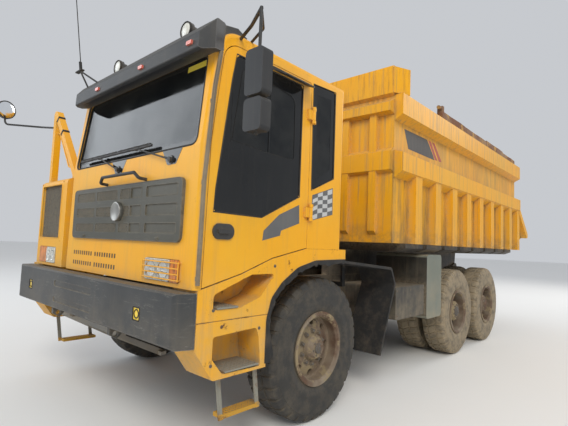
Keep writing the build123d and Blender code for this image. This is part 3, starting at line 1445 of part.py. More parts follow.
def along(radius, low, high):
    """A round bar on the cylinder's own axis, between two distances from its foot."""
    return Pos(0, 0, (low + high) / 2) * Cylinder(radius, high - low)


def lift_barrel():
    """The outer tube with its foot, foot pin and gland ring."""
    foot = Cylinder(80, 2 * BARREL_RADIUS - 20, rotation=(0, 90, 0))
    pin_half = BARREL_RADIUS + RUNNING_GAP + 30
    pin = Cylinder(FOOT_PIN_RADIUS, 2 * pin_half, rotation=(0, 90, 0))
    tube = along(BARREL_RADIUS, 60, BARREL_LENGTH) - along(STAGE_RADII[0] + SHAFT_FIT, 110, BARREL_LENGTH + 1)
    return LIFT_PLANE * fuse([tube, foot, pin])


def lift_stage(index):
    """One moving stage: a tube for all but the last, which ends in the rod's eye."""
    low = 116 + index * 16
    high = BARREL_LENGTH + (index + 1) * STAGE_STEP
    rod = along(STAGE_RADII[index], low, high)
    if index < len(STAGE_RADII) - 1:
        rod -= along(STAGE_RADII[index + 1] + SHAFT_FIT, low + 15, high + 1)
        return LIFT_PLANE * rod
    neck = along(40, high - 5, LIFT_LENGTH)
    eye = Pos(0, 0, LIFT_LENGTH) * Cylinder(EYE_RADIUS, EYE_WIDTH, rotation=(0, 90, 0))
    hole = Pos(0, 0, LIFT_LENGTH) * Cylinder(32, EYE_WIDTH + 2, rotation=(0, 90, 0))
    return LIFT_PLANE * (fuse([rod, neck, eye]) - hole)


def save_chassis():
    save("frame_rails", *frame_rails())
    save("crossmembers", *crossmembers())
    save("front_axle", front_axle())
    save("leaf_springs", *leaf_springs())
    save("rear_axles", *rear_axles())
    save("power_train", *power_train())
    save("bumper", bumper())
    save("sump_guard", sump_guard())


def save_cab():
    save("cab_floor", cab_floor())
    save("cab_front", cab_front())
    save("cab_roof", ROOF_PANEL)
    save("cab_rear", cab_rear())
    save("cab_left_side", cab_left_side())
    save("cab_right_side", cab_right_side())
    save("cab_glass", *cab_glass())
    save("cab_interior", *cab_interior())
    save("visors", VISOR_SOLID)
    save("aerial", aerial())
    save("wipers", *wipers())
    save("grille", grille())
    save("lamps", *lamps())
    save("amber_lamps", *amber_lamps())
    save("pillar_pipe", pillar_pipe())
    save("door_shell", door_shell())
    save("door_glass", door_glass())
    save("door_trim", *door_trim())


def save_corners():
    save("cooling_column", cooling_column())
    save("handrail", *handrail())
    save("side_deck", side_deck())
    save("air_cleaner", air_cleaner())
    save("fenders", *both(fender()))
    save("mudguards", *both(mudguard()))
    treads = []
    for piece in ladder():
        treads += both(piece)
    save("ladders", *treads)
    save("mirrors", *mirrors())
    save("side_tanks", *side_tanks())


def save_wheels():
    left_knuckle = knuckle()
    save("knuckle_left", left_knuckle)
    save("knuckle_right", mirrored(left_knuckle))
    save("tie_rod", tie_rod())
    front_tyre = tyre(FRONT_WHEEL_X, FRONT_AXLE_Y)
    rim = front_rim()
    save("tyre_front_left", front_tyre)
    save("tyre_front_right", mirrored(front_tyre))
    save("rim_front_left", rim)
    save("rim_front_right", mirrored(rim))
    for number, station in enumerate(REAR_AXLES_Y, start=1):
        pair = [tyre(REAR_OUTER_X, station), tyre(REAR_INNER_X, station)]
        twin_rim = rear_rim(station)
        save(f"tyres_rear_{number}_left", *pair)
        save(f"tyres_rear_{number}_right", *[mirrored(one) for one in pair])
        save(f"rim_rear_{number}_left", twin_rim)
        save(f"rim_rear_{number}_right", mirrored(twin_rim))


def save_body():
    side = body_side()
    save("body_side_left", side)
    save("body_side_right", mirrored(side))
    save("body_floor", body_floor())
    save("body_front", body_front())
    save("body_subframe", body_subframe())
    save("body_boards", *body_boards())
    save("lift_barrel", lift_barrel())
    for index in range(len(STAGE_RADII)):
        save(f"lift_stage_{index + 1}", lift_stage(index))


def build():
    os.makedirs("parts", exist_ok=True)
    save_chassis()
    save_cab()
    save_corners()
    save_wheels()
    save_body()


build()
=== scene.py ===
import json
import math

import bmesh
import bpy
from mathutils import Matrix, Vector


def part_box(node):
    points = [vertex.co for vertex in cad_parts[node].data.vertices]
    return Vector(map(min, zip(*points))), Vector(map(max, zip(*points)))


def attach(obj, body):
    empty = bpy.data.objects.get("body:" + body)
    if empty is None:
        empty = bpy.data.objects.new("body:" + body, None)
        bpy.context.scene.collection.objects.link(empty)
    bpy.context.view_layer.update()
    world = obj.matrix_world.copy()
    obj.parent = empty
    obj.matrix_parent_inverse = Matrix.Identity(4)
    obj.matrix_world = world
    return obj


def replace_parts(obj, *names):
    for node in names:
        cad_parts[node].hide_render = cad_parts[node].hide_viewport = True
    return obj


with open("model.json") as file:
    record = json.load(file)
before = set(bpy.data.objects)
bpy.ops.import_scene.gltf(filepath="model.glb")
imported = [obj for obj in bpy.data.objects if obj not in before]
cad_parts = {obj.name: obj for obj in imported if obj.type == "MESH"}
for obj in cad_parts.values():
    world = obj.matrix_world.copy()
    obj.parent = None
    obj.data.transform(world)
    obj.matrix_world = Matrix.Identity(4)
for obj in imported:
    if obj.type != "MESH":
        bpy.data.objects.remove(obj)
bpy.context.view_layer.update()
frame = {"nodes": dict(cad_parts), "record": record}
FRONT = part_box("bumper")[0].y


def at(x, station, z):
    """A point given by its station behind the bumper's face, in the row frame."""
    return Vector((x, station + FRONT, z))


# Materials


class Shader:
    """A material under construction, with short calls for the nodes that repeat."""

    def __init__(self):
        self.material = bpy.data.materials.new("look")
        self.material.use_nodes = True
        self.tree = self.material.node_tree
        self.tree.nodes.clear()
        self.out = self.node("OutputMaterial")
        self.bsdf = self.node("BsdfPrincipled")
        self.link(self.bsdf.outputs[0], self.out.inputs["Surface"])
        self.place = self.node("TexCoord").outputs["Object"]
        self.normal = self.node("NewGeometry").outputs["Normal"]

    def link(self, source, target):
        self.tree.links.new(source, target)

    def feed(self, socket, value):
        """A constant or another node's output into a socket."""
        if isinstance(value, bpy.types.NodeSocket):
            self.link(value, socket)
        elif hasattr(value, "__len__") and len(socket.default_value) > len(value):
            socket.default_value = (*value, 1)
        else:
            socket.default_value = value

    def fill(self, node, **values):
        for name, value in values.items():
            self.feed(node.inputs[name.replace("_", " ")], value)

    def node(self, kind, **values):
        node = self.tree.nodes.new("ShaderNode" + kind)
        self.fill(node, **values)
        return node

    def math(self, operation, a, b=0, clamp=False):
        node = self.node("Math")
        node.operation = operation
        node.use_clamp = clamp
        self.feed(node.inputs[0], a)
        self.feed(node.inputs[1], b)
        return node.outputs[0]

    def times(self, a, b, clamp=False):
        return self.math("MULTIPLY", a, b, clamp)

    def plus(self, a, b, clamp=False):
        return self.math("ADD", a, b, clamp)

    def noise(self, scale, detail=4, roughness=0.6, stretch=None, distortion=0):
        place = self.place
        if stretch:
            place = self.node("Mapping", Vector=place, Scale=stretch).outputs[0]
        node = self.node("TexNoise", Vector=place, Scale=scale, Detail=detail)
        self.fill(node, Roughness=roughness, Distortion=distortion)
        return node.outputs["Fac"]

    def ramp(self, value, low, high):
        """0 below low, 1 above high."""
        return self.node("MapRange", Value=value, From_Min=low, From_Max=high).outputs["Result"]

    def spots(self, low, high, *noise):
        """Noise as patches with soft edges."""
        return self.ramp(self.noise(*noise), low, high)

    def part(self, vector, axis):
        return self.node("SeparateXYZ", Vector=vector).outputs[axis]

    def past(self, axis, low, high):
        """0 below low and 1 above high on that axis."""
        return self.ramp(self.part(self.place, axis), low, high)

    def outward(self):
        """The distance from the truck's middle plane."""
        return self.math("ABSOLUTE", self.part(self.place, "X"))

    def up(self):
        """How far the surface faces upwards, from 0 to 1."""
        return self.math("MAXIMUM", self.part(self.normal, "Z"), 0)

    def mix(self, factor, a, b):
        node = self.node("Mix")
        node.data_type = "RGBA"
        self.fill(node, Factor=factor, A=a, B=b)
        return node.outputs["Result"]

    def corners(self, distance):
        """1 in corners and cracks, 0 in the open."""
        node = self.node("AmbientOcclusion", Distance=distance)
        node.samples = 6
        return self.ramp(node.outputs["AO"], 0.95, 0.45)

    def edges(self, radius):
        """1 along sharp edges, 0 on flat faces."""
        bevel = self.node("Bevel", Radius=radius)
        bevel.samples = 4
        dot = self.node("VectorMath")
        dot.operation = "DOT_PRODUCT"
        self.link(bevel.outputs[0], dot.inputs[0])
        self.link(self.normal, dot.inputs[1])
        return self.ramp(dot.outputs["Value"], 0.995, 0.85)

    def finish(self, colour, roughness, bump=None, **more):
        """The material with this colour and roughness; bump is its height, strength and depth."""
        self.fill(self.bsdf, Base_Color=colour, Roughness=roughness, **more)
        if bump:
            node = self.node("Bump", **dict(zip(("Height", "Strength", "Distance"), bump)))
            self.link(node.outputs[0], self.bsdf.inputs["Normal"])
        return self.material


DUST = (0.42, 0.34, 0.23)
MUD = (0.24, 0.19, 0.13)
RUST = (0.17, 0.055, 0.018)
OLD_RUST = (0.07, 0.028, 0.014)
# Inner faces of the dump body: half its width, its front wall's station and its floor
INSIDE_X = 1.503
INSIDE_STATION = 3.263
INSIDE_Z = 1.803
# Station where the upright tank ends, seen from the front
TANK_STATION = 4.1735


def painted(
    colour, faded, rough=0.42, dust=0.35, rust=0.5, dirt_top=1.6, edge=0.006, streaky=0.2,
    worn_in=False, scuffs=0, ahead=None
):
    """Painted steel with faded patches, streaks, dust on ledges and rust at the edges.
    worn_in gives the inside of the dump body the bare, scoured steel that loads leave, scuffs
    is how much pale scratches and pale edges show, the edges partly worn paint and partly painted
    highlight, and ahead is the near-black painted shade over the left-hand side before the
    upright tank."""
    s = Shader()
    base = s.mix(s.spots(0.38, 0.66, 0.9, 5), colour, faded)
    # Painted shade: near-black over the left-hand side before the upright tank, where the battery box and the
    # tank's front lie in shadow
    if ahead:
        box = s.times(
            s.past("Y", FRONT + TANK_STATION + 0.0015, FRONT + TANK_STATION - 0.0015), s.past("X", 0, 0.01)
        )
        base = s.mix(box, base, ahead)
    cloud = s.spots(0.35, 0.75, 2.6, 6, 0.7)
    base = s.mix(s.times(cloud, 0.16), base, [c * 0.62 for c in colour])
    grime = s.noise(34, 6, 0.7)
    streaks = s.noise(6, 5, 0.65, (3.2, 3.2, 0.16))
    streak = s.times(s.ramp(streaks, 0.52, 0.78), streaky * dust / 0.35)
    base = s.mix(streak, base, [c * 0.55 for c in DUST])
    cover = s.times(s.spots(0.36, 0.7, 3.1, 8, 0.7), s.past("Z", dirt_top, 0.35))
    ledge = s.times(s.ramp(s.up(), 0.55, 0.95), 0.55)
    corner = s.times(s.corners(0.12), 0.6)
    total = s.plus(s.times(cover, 0.85), s.times(ledge, grime))
    total = s.plus(total, s.times(corner, s.ramp(grime, 0.3, 0.6)), clamp=True)
    total = s.times(total, min(1, dust * 2.2))
    base = s.mix(total, base, DUST)
    worn = s.times(s.edges(edge), s.spots(0.5, 0.62, 9, 6, 0.75))
    least = 0.59 if rust > 0.9 else 0.66
    spots = s.spots(least, least + 0.06, 5.3, 9, 0.78)
    bare = s.times(s.math("MAXIMUM", worn, spots), rust, clamp=True)
    base = s.mix(bare, base, s.mix(s.noise(60, 4), RUST, OLD_RUST))
    if scuffs:
        lines = s.noise(7, 7, 0.8, (1.2, 1.2, 7), 0.6)
        rubbed = s.spots(0.42, 0.62, 2.4, 5, 0.7)
        scratch = s.times(s.ramp(lines, 0.55, 0.64), rubbed)
        # Pale edges, partly rubbed paint and partly painted highlight
        edge_wear_and_highlight = s.times(s.edges(edge * 2), s.spots(0.42, 0.55, 5, 6, 0.75))
        marks = s.times(s.math("MAXIMUM", scratch, edge_wear_and_highlight), scuffs, clamp=True)
        base = s.mix(marks, base, (0.26, 0.25, 0.22))
    if worn_in:
        base = body_grime(s, base)
        scoured = s.mix(s.noise(14, 7, 0.7), (0.16, 0.12, 0.09), (0.085, 0.065, 0.052))
        scoured = s.mix(s.spots(0.45, 0.7, 1.7, 6), scoured, (0.24, 0.13, 0.07))
        inside = s.ramp(s.outward(), INSIDE_X + 0.001, INSIDE_X - 0.001)
        station = FRONT + INSIDE_STATION
        inside = s.times(inside, s.past("Y", station - 0.001, station + 0.001))
        inside = s.times(inside, s.past("Z", INSIDE_Z - 0.001, INSIDE_Z + 0.001))
        base = s.mix(inside, base, scoured)
    dull = s.times(s.math("MAXIMUM", total, bare), 0.4)
    bump = (s.plus(s.times(grime, 0.2), bare), 0.12, 0.002)
    return s.finish(base, s.plus(dull, rough, clamp=True), bump, Metallic=0, Specular_IOR_Level=0.35)


def body_grime(s, base):
    """Brown-grey dirt on the dump body's outer walls and rust that runs down from its top."""
    outward = s.outward()
    wall = s.times(s.ramp(outward, 1.58, 1.566), s.ramp(outward, 1.54, 1.55))
    runs = s.spots(0.36, 0.62, 3, 6, 0.7, (2.5, 2.5, 0.35))
    amount = s.math("SUBTRACT", 0.78, s.times(s.past("Z", 2.66, 2.95), 0.36))
    base = s.mix(s.times(s.times(wall, runs), amount), base, (0.225, 0.15, 0.06))
    trickle = s.spots(0.5, 0.66, 9, 7, 0.75, (2.2, 2.2, 0.22))
    top = s.times(s.past("Z", 3.15, 3.6), trickle)
    base = s.mix(s.times(top, 0.5), base, (0.26, 0.11, 0.03))
    foot = s.times(s.past("Z", 2.02, 1.82), s.spots(0.42, 0.62, 6, 7, 0.75))
    return s.mix(s.times(foot, 0.6), base, (0.24, 0.16, 0.08))


def glass():
    """Dark tinted glass under a thin, uneven coat of dust."""
    s = Shader()
    dust = s.times(s.spots(0.35, 0.75, 2.2, 7, 0.7), 0.18)
    through = s.node("BsdfTransparent", Color=(0.2, 0.25, 0.27))
    coat = s.node("MixShader")
    for socket, source in zip(coat.inputs, (s.plus(dust, 0.58), through.outputs[0], s.bsdf.outputs[0])):
        s.link(source, socket)
    s.link(coat.outputs[0], s.out.inputs["Surface"])
    base = s.mix(dust, (0.004, 0.006, 0.008), (0.16, 0.15, 0.12))
    return s.finish(base, s.plus(dust, 0.02), IOR=1.55)


def rubber(colour, dusty, amount, grain=120):
    """Black rubber with dust that gathers in the grooves."""
    s = Shader()
    cover = s.spots(0.62 - amount * 0.4, 0.8 - amount * 0.3, 7, 8, 0.75)
    total = s.plus(s.times(cover, amount), s.times(s.corners(0.05), amount), clamp=True)
    base = s.mix(total, colour, dusty)
    scuffs = s.spots(0.55, 0.7, 26, 6, 0.7)
    base = s.mix(s.times(scuffs, 0.25), base, [c * 1.6 + 0.01 for c in colour])
    bump = (s.plus(s.noise(grain, 4), s.times(scuffs, 0.4)), 0.14, 0.001)
    return s.finish(base, s.plus(s.times(cover, 0.15), 0.72), bump)


def rusted(paint, share, light=(0.24, 0.085, 0.03), dusty=(0.3, 0.2, 0.12), upper=None):
    """Steel on which rust has taken over and some paint is left; upper is the paint over 0.4 m."""
    s = Shader()
    left = s.spots(0.62 - share * 0.35, 0.66 - share * 0.3, 3.7, 9, 0.75)
    if upper:
        paint = s.mix(s.past("Z", 0.385, 0.395), paint, upper)
    rust = s.mix(s.noise(18, 8, 0.7), light, (0.09, 0.045, 0.028))
    rust = s.mix(s.spots(0.42, 0.7, 2.3, 6), rust, dusty)
    base = s.mix(s.times(s.corners(0.08), 0.7), s.mix(left, rust, paint), MUD)
    return s.finish(base, 0.85, (s.noise(45, 6, 0.7), 0.3, 0.002))


def lens(colour, deep, above=None, below=None):
    """A moulded lens with fine prisms; above is its colour over 3 m, below that under 1.2 m."""
    s = Shader()
    dust = s.spots(0.4, 0.8, 9, 6, 0.7)
    prisms = s.noise(55, 1, 0.4, (1, 1, 0.25))
    base = s.mix(s.ramp(prisms, 0.35, 0.65), colour, [c * deep for c in colour])
    if above:
        base = s.mix(s.past("Z", 2.9, 2.95), base, above)
    if below:
        base = s.mix(s.past("Z", 1.25, 1.2), base, below)
    base = s.mix(s.times(dust, 0.25), base, DUST)
    return s.finish(base, s.plus(s.times(dust, 0.25), 0.08), (prisms, 0.25, 0.002), IOR=1.5)


def metal(light, dark, rough=0.12):
    """Bare or plated metal with faint marks."""
    s = Shader()
    marks = s.noise(20, 6)
    return s.finish(s.mix(marks, light, dark), s.plus(s.times(marks, 0.2), rough), Metallic=1)


def cloth(colour, thread):
    """Woven seat cloth with a soft sheen and worn, dusty places."""
    s = Shader()
    warp = s.noise(420, 2, 0.5, (1, 0.25, 1))
    weft = s.noise(420, 2, 0.5, (0.25, 1, 1))
    weave = s.times(s.ramp(warp, 0.3, 0.7), s.ramp(weft, 0.3, 0.7))
    worn = s.spots(0.5, 0.8, 4, 6, 0.7)
    base = s.mix(s.times(worn, 0.35), s.mix(weave, colour, thread), MUD)
    return s.finish(base, 0.92, (weave, 0.3, 0.001), Sheen_Weight=0.3)


YELLOW = (0.83, 0.385, 0.004)
FADED = (0.77, 0.395, 0.018)
BLACK = (0.012, 0.012, 0.012)
LOOKS = {
    "yellow_paint": painted(YELLOW, FADED),
    "body_paint": painted(YELLOW, FADED, 0.48, 0.42, 0.7, 2.3, 0.008, 0.62, worn_in=True),
    "fender_paint": painted(YELLOW, FADED, 0.45, 0.5, 0.95, 1.5, 0.01, 0.3),
    "bolt_steel": painted((0.16, 0.16, 0.15), (0.22, 0.21, 0.19), 0.4, 0.3, 0.4),
    "dark_paint": painted((0.035, 0.038, 0.04), (0.075, 0.075, 0.072), 0.5, 0.4, 0.25),
    "visor_grey": painted(
        (0.034, 0.036, 0.039), (0.06, 0.06, 0.058), 0.55, 0.25, 0.1, 1.3, streaky=0.12, scuffs=0.3
    ),
    "guard_grey": painted((0.2, 0.2, 0.19), (0.27, 0.26, 0.24), 0.5, 0.4, 0.3),
    "ladder": rusted((0.5, 0.27, 0.03), 0.75, (0.2, 0.1, 0.04), (0.3, 0.24, 0.16), (0.23, 0.225, 0.19)),
    "bumper_grey": painted(
        (0.036, 0.039, 0.042), (0.068, 0.07, 0.07), 0.5, 0.28, 0.35, 1.3, streaky=0.1, scuffs=0.55
    ),
    "grille_grey": painted(
        (0.06, 0.061, 0.05), (0.088, 0.086, 0.072), 0.5, 0.25, 0.1, streaky=0.1, scuffs=0.3
    ),
    "pipe_brown": painted((0.11, 0.085, 0.055), (0.16, 0.13, 0.09), 0.5, 0.5, 0.5, 3.4),
    "steel": painted((0.018, 0.017, 0.016), (0.05, 0.045, 0.04), 0.6, 0.6, 0.6, 1.9),
    "nut_steel": rusted((0.1, 0.09, 0.08), 0.5, (0.14, 0.07, 0.035), (0.16, 0.12, 0.08)),
    "rim_paint": rusted((0.27, 0.21, 0.12), 0.3, (0.12, 0.075, 0.045), (0.28, 0.235, 0.175)),
    "tyre": rubber((0.02, 0.019, 0.018), (0.2, 0.16, 0.11), 0.55),
    "front_tyre": rubber((0.03, 0.029, 0.027), (0.15, 0.125, 0.09), 0.45, 90),
    "rear_tyre": rubber((0.055, 0.048, 0.038), (0.33, 0.265, 0.175), 0.85, 90),
    "rubber": rubber(BLACK, (0.14, 0.11, 0.08), 0.35),
    "black_border": painted((0.008, 0.009, 0.01), (0.014, 0.015, 0.016), 0.1, 0.04, 0),
    "mesh_wire": painted((0.14, 0.14, 0.125), (0.2, 0.195, 0.17), 0.5, 0.3, 0.2),
    "wire": painted((0.02, 0.02, 0.019), (0.045, 0.042, 0.036), 0.6, 0.5, 0.2),
    "glass": glass(),
    "lamp": lens((0.52, 0.53, 0.5), 0.6, above=(0.045, 0.045, 0.045)),
    "clear_flutes": lens((0.74, 0.75, 0.7), 0.8),
    "reflector": metal((0.8, 0.8, 0.78), (0.55, 0.55, 0.52), 0.06),
    "amber_lamp": lens((0.78, 0.24, 0.02), 0.5, above=(0.62, 0.12, 0.09), below=(0.86, 0.6, 0.03)),
    "plastic": painted((0.022, 0.023, 0.025), (0.042, 0.042, 0.042), 0.5, 0.12, 0),
    # Grey-green tank paint, with near-black painted shade over the left-hand side before the upright tank
    "tank_paint_and_shade": painted(
        (0.16, 0.18, 0.15), (0.22, 0.23, 0.19), 0.5, 0.4, streaky=0.3, ahead=(0.03, 0.029, 0.027)
    ),
    "rust": rusted((0.45, 0.25, 0.06), 0.25),
    "tread_rust": rusted((0.16, 0.15, 0.12), 0.4, (0.2, 0.09, 0.035), (0.26, 0.2, 0.13)),
    "chrome_rod": metal((0.72, 0.73, 0.75), (0.5, 0.5, 0.5)),
    "mirror": metal((0.86, 0.88, 0.9), (0.78, 0.8, 0.82), 0),
    "disc_grey": metal((0.42, 0.42, 0.4), (0.26, 0.25, 0.23), 0.3),
    "strip_yellow": painted((0.8, 0.62, 0.03), (0.72, 0.58, 0.06), 0.4, 0.3, 0),
    "sticker_grey": painted((0.105, 0.108, 0.112), (0.15, 0.15, 0.15), 0.45, 0.3, 0),
    "sticker_white": painted((0.52, 0.53, 0.53), (0.4, 0.41, 0.41), 0.45, 0.3, 0),
    "sticker_dark": painted((0.038, 0.036, 0.036), (0.07, 0.062, 0.055), 0.45, 0.35, 0),
    "sticker_red": painted((0.42, 0.045, 0.03), (0.36, 0.08, 0.05), 0.45, 0.35, 0),
    "seat_cloth": cloth((0.03, 0.032, 0.036), (0.085, 0.085, 0.09)),
}
NODE_LOOKS = {
    "bumper": "bumper_grey",
    "pillar_pipe": "pipe_brown",
    "wipers": "plastic",
    # The subframe under the dump body is near-black: partly black steel, partly painted shade under the body
    "body_subframe": "steel",
    "side_tanks": "tank_paint_and_shade",
    "fenders": "fender_paint",
    "visors": "visor_grey",
    "sump_guard": "guard_grey",
    "ladders": "ladder",
    **{f"body_{place}": "body_paint" for place in ("side_left", "side_right", "front", "floor")},
}
for name, look in LOOKS.items():
    look.name = name
for part in frame["record"]["subparts"]:
    mesh = frame["nodes"][part["node"]].data
    mesh.materials.clear()
    mesh.materials.append(LOOKS[NODE_LOOKS.get(part["node"], part["material_slot"])])

# Mesh code shared by the pieces

AHEAD = (0, -1, 0)
BACK = (0, 1, 0)
LEFT = (1, 0, 0)
RIGHT = (-1, 0, 0)
UP = (0, 0, 1)


def circle(side, other, sides):
    """Points of a circle with radius 1 in the plane of two directions."""
    turns = [2 * math.pi * k / sides for k in range(sides)]
    return [side * math.cos(t) + other * math.sin(t) for t in turns]


def filled(loops):
    """Points and faces of a flat sheet inside the first loop and outside the others."""
    skin = bmesh.new()
    edges = []
    for loop in loops:
        made = [skin.verts.new(p) for p in loop]
        edges += [skin.edges.new((made[i - 1], made[i])) for i in range(len(made))]
    bmesh.ops.triangle_fill(skin, edges=edges, use_beauty=True)
    skin.verts.index_update()
    points = [v.co.copy() for v in skin.verts]
    faces = [[v.index for v in face.verts] for face in skin.faces]
    skin.free()
    return points, faces


class Build:
    """Points and faces of one piece, collected from bars, plates, rings and nuts."""

    def __init__(self):
        self.points = []
        self.faces = []

    def add(self, points, faces):
        first = len(self.points)
        self.points += [Vector(p) for p in points]
        self.faces += [[first + i for i in face] for face in faces]

    def rows(self, rings, closed_along=False, caps=True):
        """A skin over closed rings of points that all have the same count."""
        width = len(rings[0])
        faces = []
        for row in range(len(rings) if closed_along else len(rings) - 1):
            here = row * width
            there = (row + 1) % len(rings) * width
            for i in range(width):
                j = (i + 1) % width
                faces.append([here + i, here + j, there + j, there + i])
        if caps and not closed_along:
            last = (len(rings) - 1) * width
            faces.append(list(reversed(range(width))))
            faces.append([last + i for i in range(width)])
        self.add([p for ring in rings for p in ring], faces)

    def tube(self, path, radius, sides=10, closed=False):
        """A round bar along the points."""
        path = [Vector(p) for p in path]
        count = len(path)
        rings = []
        side = None
        for i, point in enumerate(path):
            ahead = path[(i + 1) % count] if closed or i + 1 < count else point
            behind = path[i - 1] if closed or i else point
            along = (ahead - behind).normalized()
            side = along.orthogonal() if side is None else side - along * side.dot(along)
            side = side.normalized()
            rings.append([point + p * radius for p in circle(side, along.cross(side), sides)])
        self.rows(rings, closed_along=closed)

    def ring(self, outline, radius, sides=6):
        """A closed round bar along the points."""
        self.tube(outline, radius, sides, closed=True)
        return self

    def lathe(self, centre, axis, profile, sides=24, caps=True):
        """A turned form from (distance along the axis, radius) points."""
        centre, axis = Vector(centre), Vector(axis).normalized()
        side = axis.orthogonal().normalized()
        spokes = circle(side, axis.cross(side), sides)
        rings = [[centre + axis * along + p * radius for p in spokes] for along, radius in profile]
        self.rows(rings, caps=caps)

    def bolt(self, centre, axis, radius, height):
        """A hexagon head with a chamfered top, on a round washer."""
        washer = height * 0.2
        self.lathe(centre, axis, [(0, radius * 1.35), (washer, radius * 1.3)], 16)
        top = [(washer, radius), (height * 0.85, radius), (height, radius * 0.82)]
        self.lathe(centre, axis, top, 6)

    def bolts(self, centres, axis, radius, height):
        for centre in centres:
            self.bolt(centre, axis, radius, height)
        return self

    def plate(self, outline, normal, thickness):
        """A flat plate with that outline as its back."""
        outline = [Vector(p) for p in outline]
        middle = sum(outline, Vector()) / len(outline)
        turned = zip(outline, outline[1:] + outline[:1])
        area = sum(((a - middle).cross(b - middle) for a, b in turned), Vector())
        if area.dot(Vector(normal)) < 0:
            outline.reverse()
        self.rows([outline, [p + Vector(normal) * thickness for p in outline]])

    def box(self, low, high, chamfer):
        """A block between two corners, with its long edges chamfered."""
        low, high = Vector(low), Vector(high)
        c = min(chamfer, min(high - low) * 0.45)
        rings = []
        for z, inset in ((low.z, c), (low.z + c, 0), (high.z - c, 0), (high.z, c)):
            x0, x1 = low.x + inset, high.x - inset
            y0, y1 = low.y + inset, high.y - inset
            corners = [(x0 + c, y0), (x1 - c, y0), (x1, y0 + c), (x1, y1 - c)]
            corners += [(x1 - c, y1), (x0 + c, y1), (x0, y1 - c), (x0, y0 + c)]
            rings.append([(x, y, z) for x, y in corners])
        self.rows(rings)

    def wall(self, loop, lift):
        self.rows([loop, [p + Vector(lift) for p in loop]], caps=False)

    def band(self, outer, inner, lift):
        """A flat strip between two closed outlines, raised by a vector."""
        points, faces = filled((outer, inner))
        self.add(points, faces)
        self.add([p + Vector(lift) for p in points], faces)
        self.wall(outer, lift)
        self.wall(inner, lift)

    def done(self, name, look, slot, body="chassis", smooth=0.6):
        """The piece as an object that rides on the body."""
        mesh = bpy.data.meshes.new(name)
        mesh.from_pydata([tuple(p) for p in self.points], [], self.faces)
        mesh.materials.append(LOOKS[look])
        skin = bmesh.new()
        skin.from_mesh(mesh)
        bmesh.ops.recalc_face_normals(skin, faces=skin.faces)
        skin.to_mesh(mesh)
        skin.free()
        mesh.shade_smooth()
        mesh.set_sharp_from_angle(angle=smooth)
        obj = bpy.data.objects.new(name, mesh)
        bpy.context.scene.collection.objects.link(obj)
        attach(obj, body)
        return obj


def rounded(outline, steps=6):
    """A flat outline of (a, b) points; a third value rounds that corner."""
    points = []
    count = len(outline)
    for i, corner in enumerate(outline):
        here = Vector(corner[:2])
        if len(corner) < 3:
            points.append(here)
            continue
        back = (Vector(outline[i - 1][:2]) - here).normalized()
        ahead = (Vector(outline[(i + 1) % count][:2]) - here).normalized()
        away = corner[2] / math.tan(back.angle(ahead) / 2)
        start, end = here + back * away, here + ahead * away
        for k in range(steps + 1):
            t = k / steps
            points.append((1 - t) ** 2 * start + 2 * t * (1 - t) * here + t * t * end)
    return points


def on_side(outline, x):
    return [at(x, *p) for p in rounded(outline)]


def on_front(outline, y):
    return [at(p[0], y, p[1]) for p in rounded(outline)]


def rectangle(x, z, corner):
    return [(x[0], z[0], corner), (x[1], z[0], corner), (x[1], z[1], corner), (x[0], z[1], corner)]


# Tyres and wheels

SIDES = (("left", 1), ("right", -1))
AXLE_Z = 0.684
FRONT_AXLE = 1.7
REAR_AXLES = (5.5, 7.02)
FRONT_X = 1.42
REAR_X = (1.412, 0.967)
PITCHES = 34
# Distance from the tyre's middle, radius, and depth of the groove across at that place
TREAD = (
    (0, 0.684, 0.011), (0.026, 0.684, 0.011), (0.052, 0.684, 0.013), (0.056, 0.668, 0), (0.068, 0.667, 0),
    (0.072, 0.684, 0.018), (0.1, 0.6835, 0.021), (0.128, 0.679, 0.022), (0.148, 0.672, 0.021),
    (0.164, 0.646, 0.016), (0.172, 0.622, 0.008), (0.176, 0.606, 0), (0.181, 0.603, 0), (0.183, 0.58, 0),
    (0.187, 0.545, 0), (0.187, 0.505, 0), (0.184, 0.462, 0), (0.1865, 0.455, 0), (0.182, 0.42, 0),
    (0.176, 0.392, 0), (0.17, 0.38, 0), (0.16, 0.352, 0), (0.1475, 0.3305, 0),
)
# The two edges of the groove that runs round, whose walls swing to and fro
GROOVE = (0.052, 0.072)
ZIGZAG = 0.006
# Where a pitch's columns stand, whether each is down in the groove, and its side of the swing
COLUMNS = ((0, 0, -1), (0.04, 1, 1), (0.25, 1, 1), (0.3, 0, -1), (0.64, 0, -1))
STAGGER_WITHIN = 0.056
STAGGER = 0.25


def tyre(build, x, station, out):
    """A tyre with staggered shoulder lugs, slanted middle blocks and plain sidewalls."""
    profile = [(-a, r, d) for a, r, d in reversed(TREAD[1:])] + list(TREAD)
    pitch = 2 * math.pi / PITCHES
    rings = []
    for index in range(PITCHES):
        for phase, low, swing in COLUMNS:
            ring = []
            for across, radius, depth in profile:
                lean = max(-1, min(1, across / STAGGER_WITHIN)) * STAGGER
                turn = (index + phase + lean) * pitch
                if GROOVE[0] <= abs(across) <= GROOVE[1]:
                    across += ZIGZAG * swing
                reach = radius - depth * low
                y = math.sin(turn) * reach
                ring.append(at(x + across * out, station + y, AXLE_Z + math.cos(turn) * reach))
            rings.append(ring)
    build.rows(rings, closed_along=True)


def nuts(build, x, station, out, reach, count, radius, height, start=0):
    for index in range(count):
        turn = 2 * math.pi * index / count + start
        place = at(x, station + math.sin(turn) * reach, AXLE_Z + math.cos(turn) * reach)
        build.bolt(place, (out, 0, 0), radius, height)


def valve(build, x, station, out, height):
    foot = at(x, station, AXLE_Z + height)
    path = [foot + Vector((out * reach, 0, -drop)) for reach, drop in ((0, 0), (0.03, 0.004), (0.055, 0.016))]
    build.tube(path, 0.005, 8)
    build.lathe(path[2], (out, 0, -0.4), [(0, 0.0065), (0.014, 0.0065), (0.016, 0.004)], 8)


